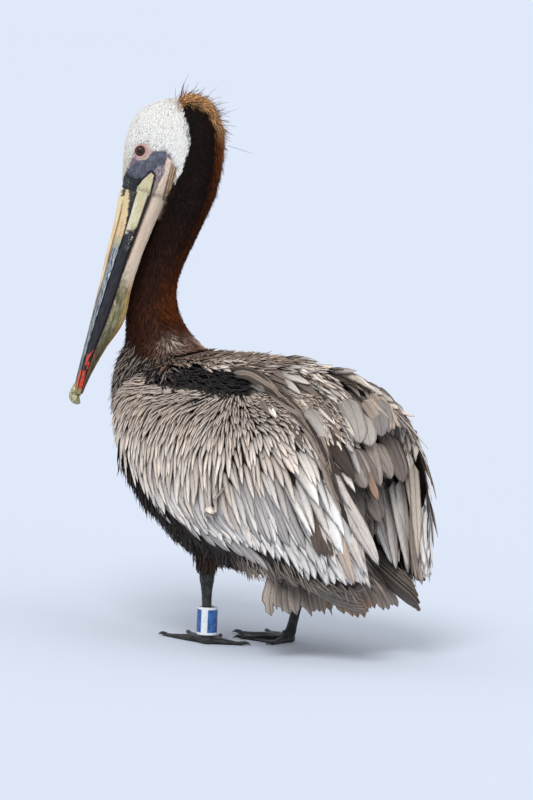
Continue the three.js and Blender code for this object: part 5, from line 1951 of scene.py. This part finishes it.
def make_band():
    """A plain plastic band: blue, its rims and one upright strip white, its ends lapped."""
    low, high = (np.array(corner) * 1000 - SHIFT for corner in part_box("leg_band"))
    centre, tall = (low + high) / 2, high[2] - low[2]
    outer = BAND_INNER + BAND_WALL
    rounding = np.array([0, 0.12, BAND_EDGE])
    level = np.concatenate([rounding, np.linspace(1, tall - 1, BAND_ROWS), tall - rounding[::-1],
                            np.linspace(tall - 0.4, 0.4, BAND_INSIDE)])
    radius = np.concatenate([outer - rounding[::-1], np.full(BAND_ROWS, outer), outer - rounding,
                             np.full(BAND_INSIDE, BAND_INNER)])
    turn = np.linspace(0, 2 * pi, BAND_FACES, endpoint=False)
    lap = BAND_LAP * step(0.05, 0.0, np.abs((turn - BAND_LAP_AT) / (2 * pi)))
    wide = radius[None] + (lap[:, None] * (radius[None] > BAND_INNER + 0.1))
    points = np.stack([wide * np.cos(turn)[:, None], wide * np.sin(turn)[:, None],
                       np.broadcast_to(level, wide.shape)], -1) + [centre[0], centre[1], low[2]]
    count = len(radius)
    quads = ring_faces(BAND_FACES + 1, count)[0] % (BAND_FACES * count)
    flat = points.reshape(-1, 3)
    around = np.repeat(turn, count)
    height = flat[:, 2] - low[2]
    blue = mix("1d4a86", "2f66a8", step(-0.5, 0.7, wobble(flat, 9, 65)))
    rim = np.maximum(step(BAND_WHITE, 3.0, height), step(tall - BAND_WHITE, tall - 3.0, height))
    strip = step(BAND_STRIP_HALF, 0.3, np.abs((around - radians(BAND_STRIP) + pi) % (2 * pi) - pi))
    tint = mix(blue, "e3e6ea", np.maximum(rim, strip))
    tint = mix(tint, "8b94a0", 0.5 * step(0.5, 0.9, wobble(flat, 5, 66)))
    run = np.stack([around * outer, height], 1)
    band = mesh_object("ankle_band", flat, [quads], tint, {"run": run})
    finished(band, horn_material("band_plastic", roughness=0.3, coarse=0.08, shine=0.5), "band", "leg_band")


# ------------------------------------------------------------------ the whole bird
eased(remeshed("skin", FLESH, SWELL, SOFT_VOXEL, smoothing=8))
BODY = Surface(bpy.data.objects["skin"].data)
OWNERS = BODY.owners(FLESH)
EXPOSED = BODY.exposed(COAT_ROOM)
bill_surface = make_bill()
hide = joined("skin", [make_skin(BODY, OWNERS, bill_surface), make_legs()] + make_lids(BODY))
finished(hide, skin_material(), "dark_plumage", *FLESH, *LEGS)
make_eyes()
tufts = tuft_material("tufts")
vane = vane_material("vanes")
quills = vane_material("quilled_vanes", shaft=1.0)
lances = vane_material("lance_vanes", shaft=0.8, rim=1.3)
make_head_coat(tufts)
make_neck_coat(tufts)
make_crest(tufts)
make_body_coats(vane)
make_coverts(vane)
make_flight_feathers(quills)
make_scapulars(lances)
make_wing_rims(lances)
make_rump(lances)
make_tail(quills)
make_primaries(quills)
make_claws()
make_band()
add_floor()
add_world()
add_sun("sun", strength=1.6, softness=24, azimuth=118, elevation=44)
add_sun("fill", strength=0.5, softness=60, azimuth=172, elevation=34)
add_camera()
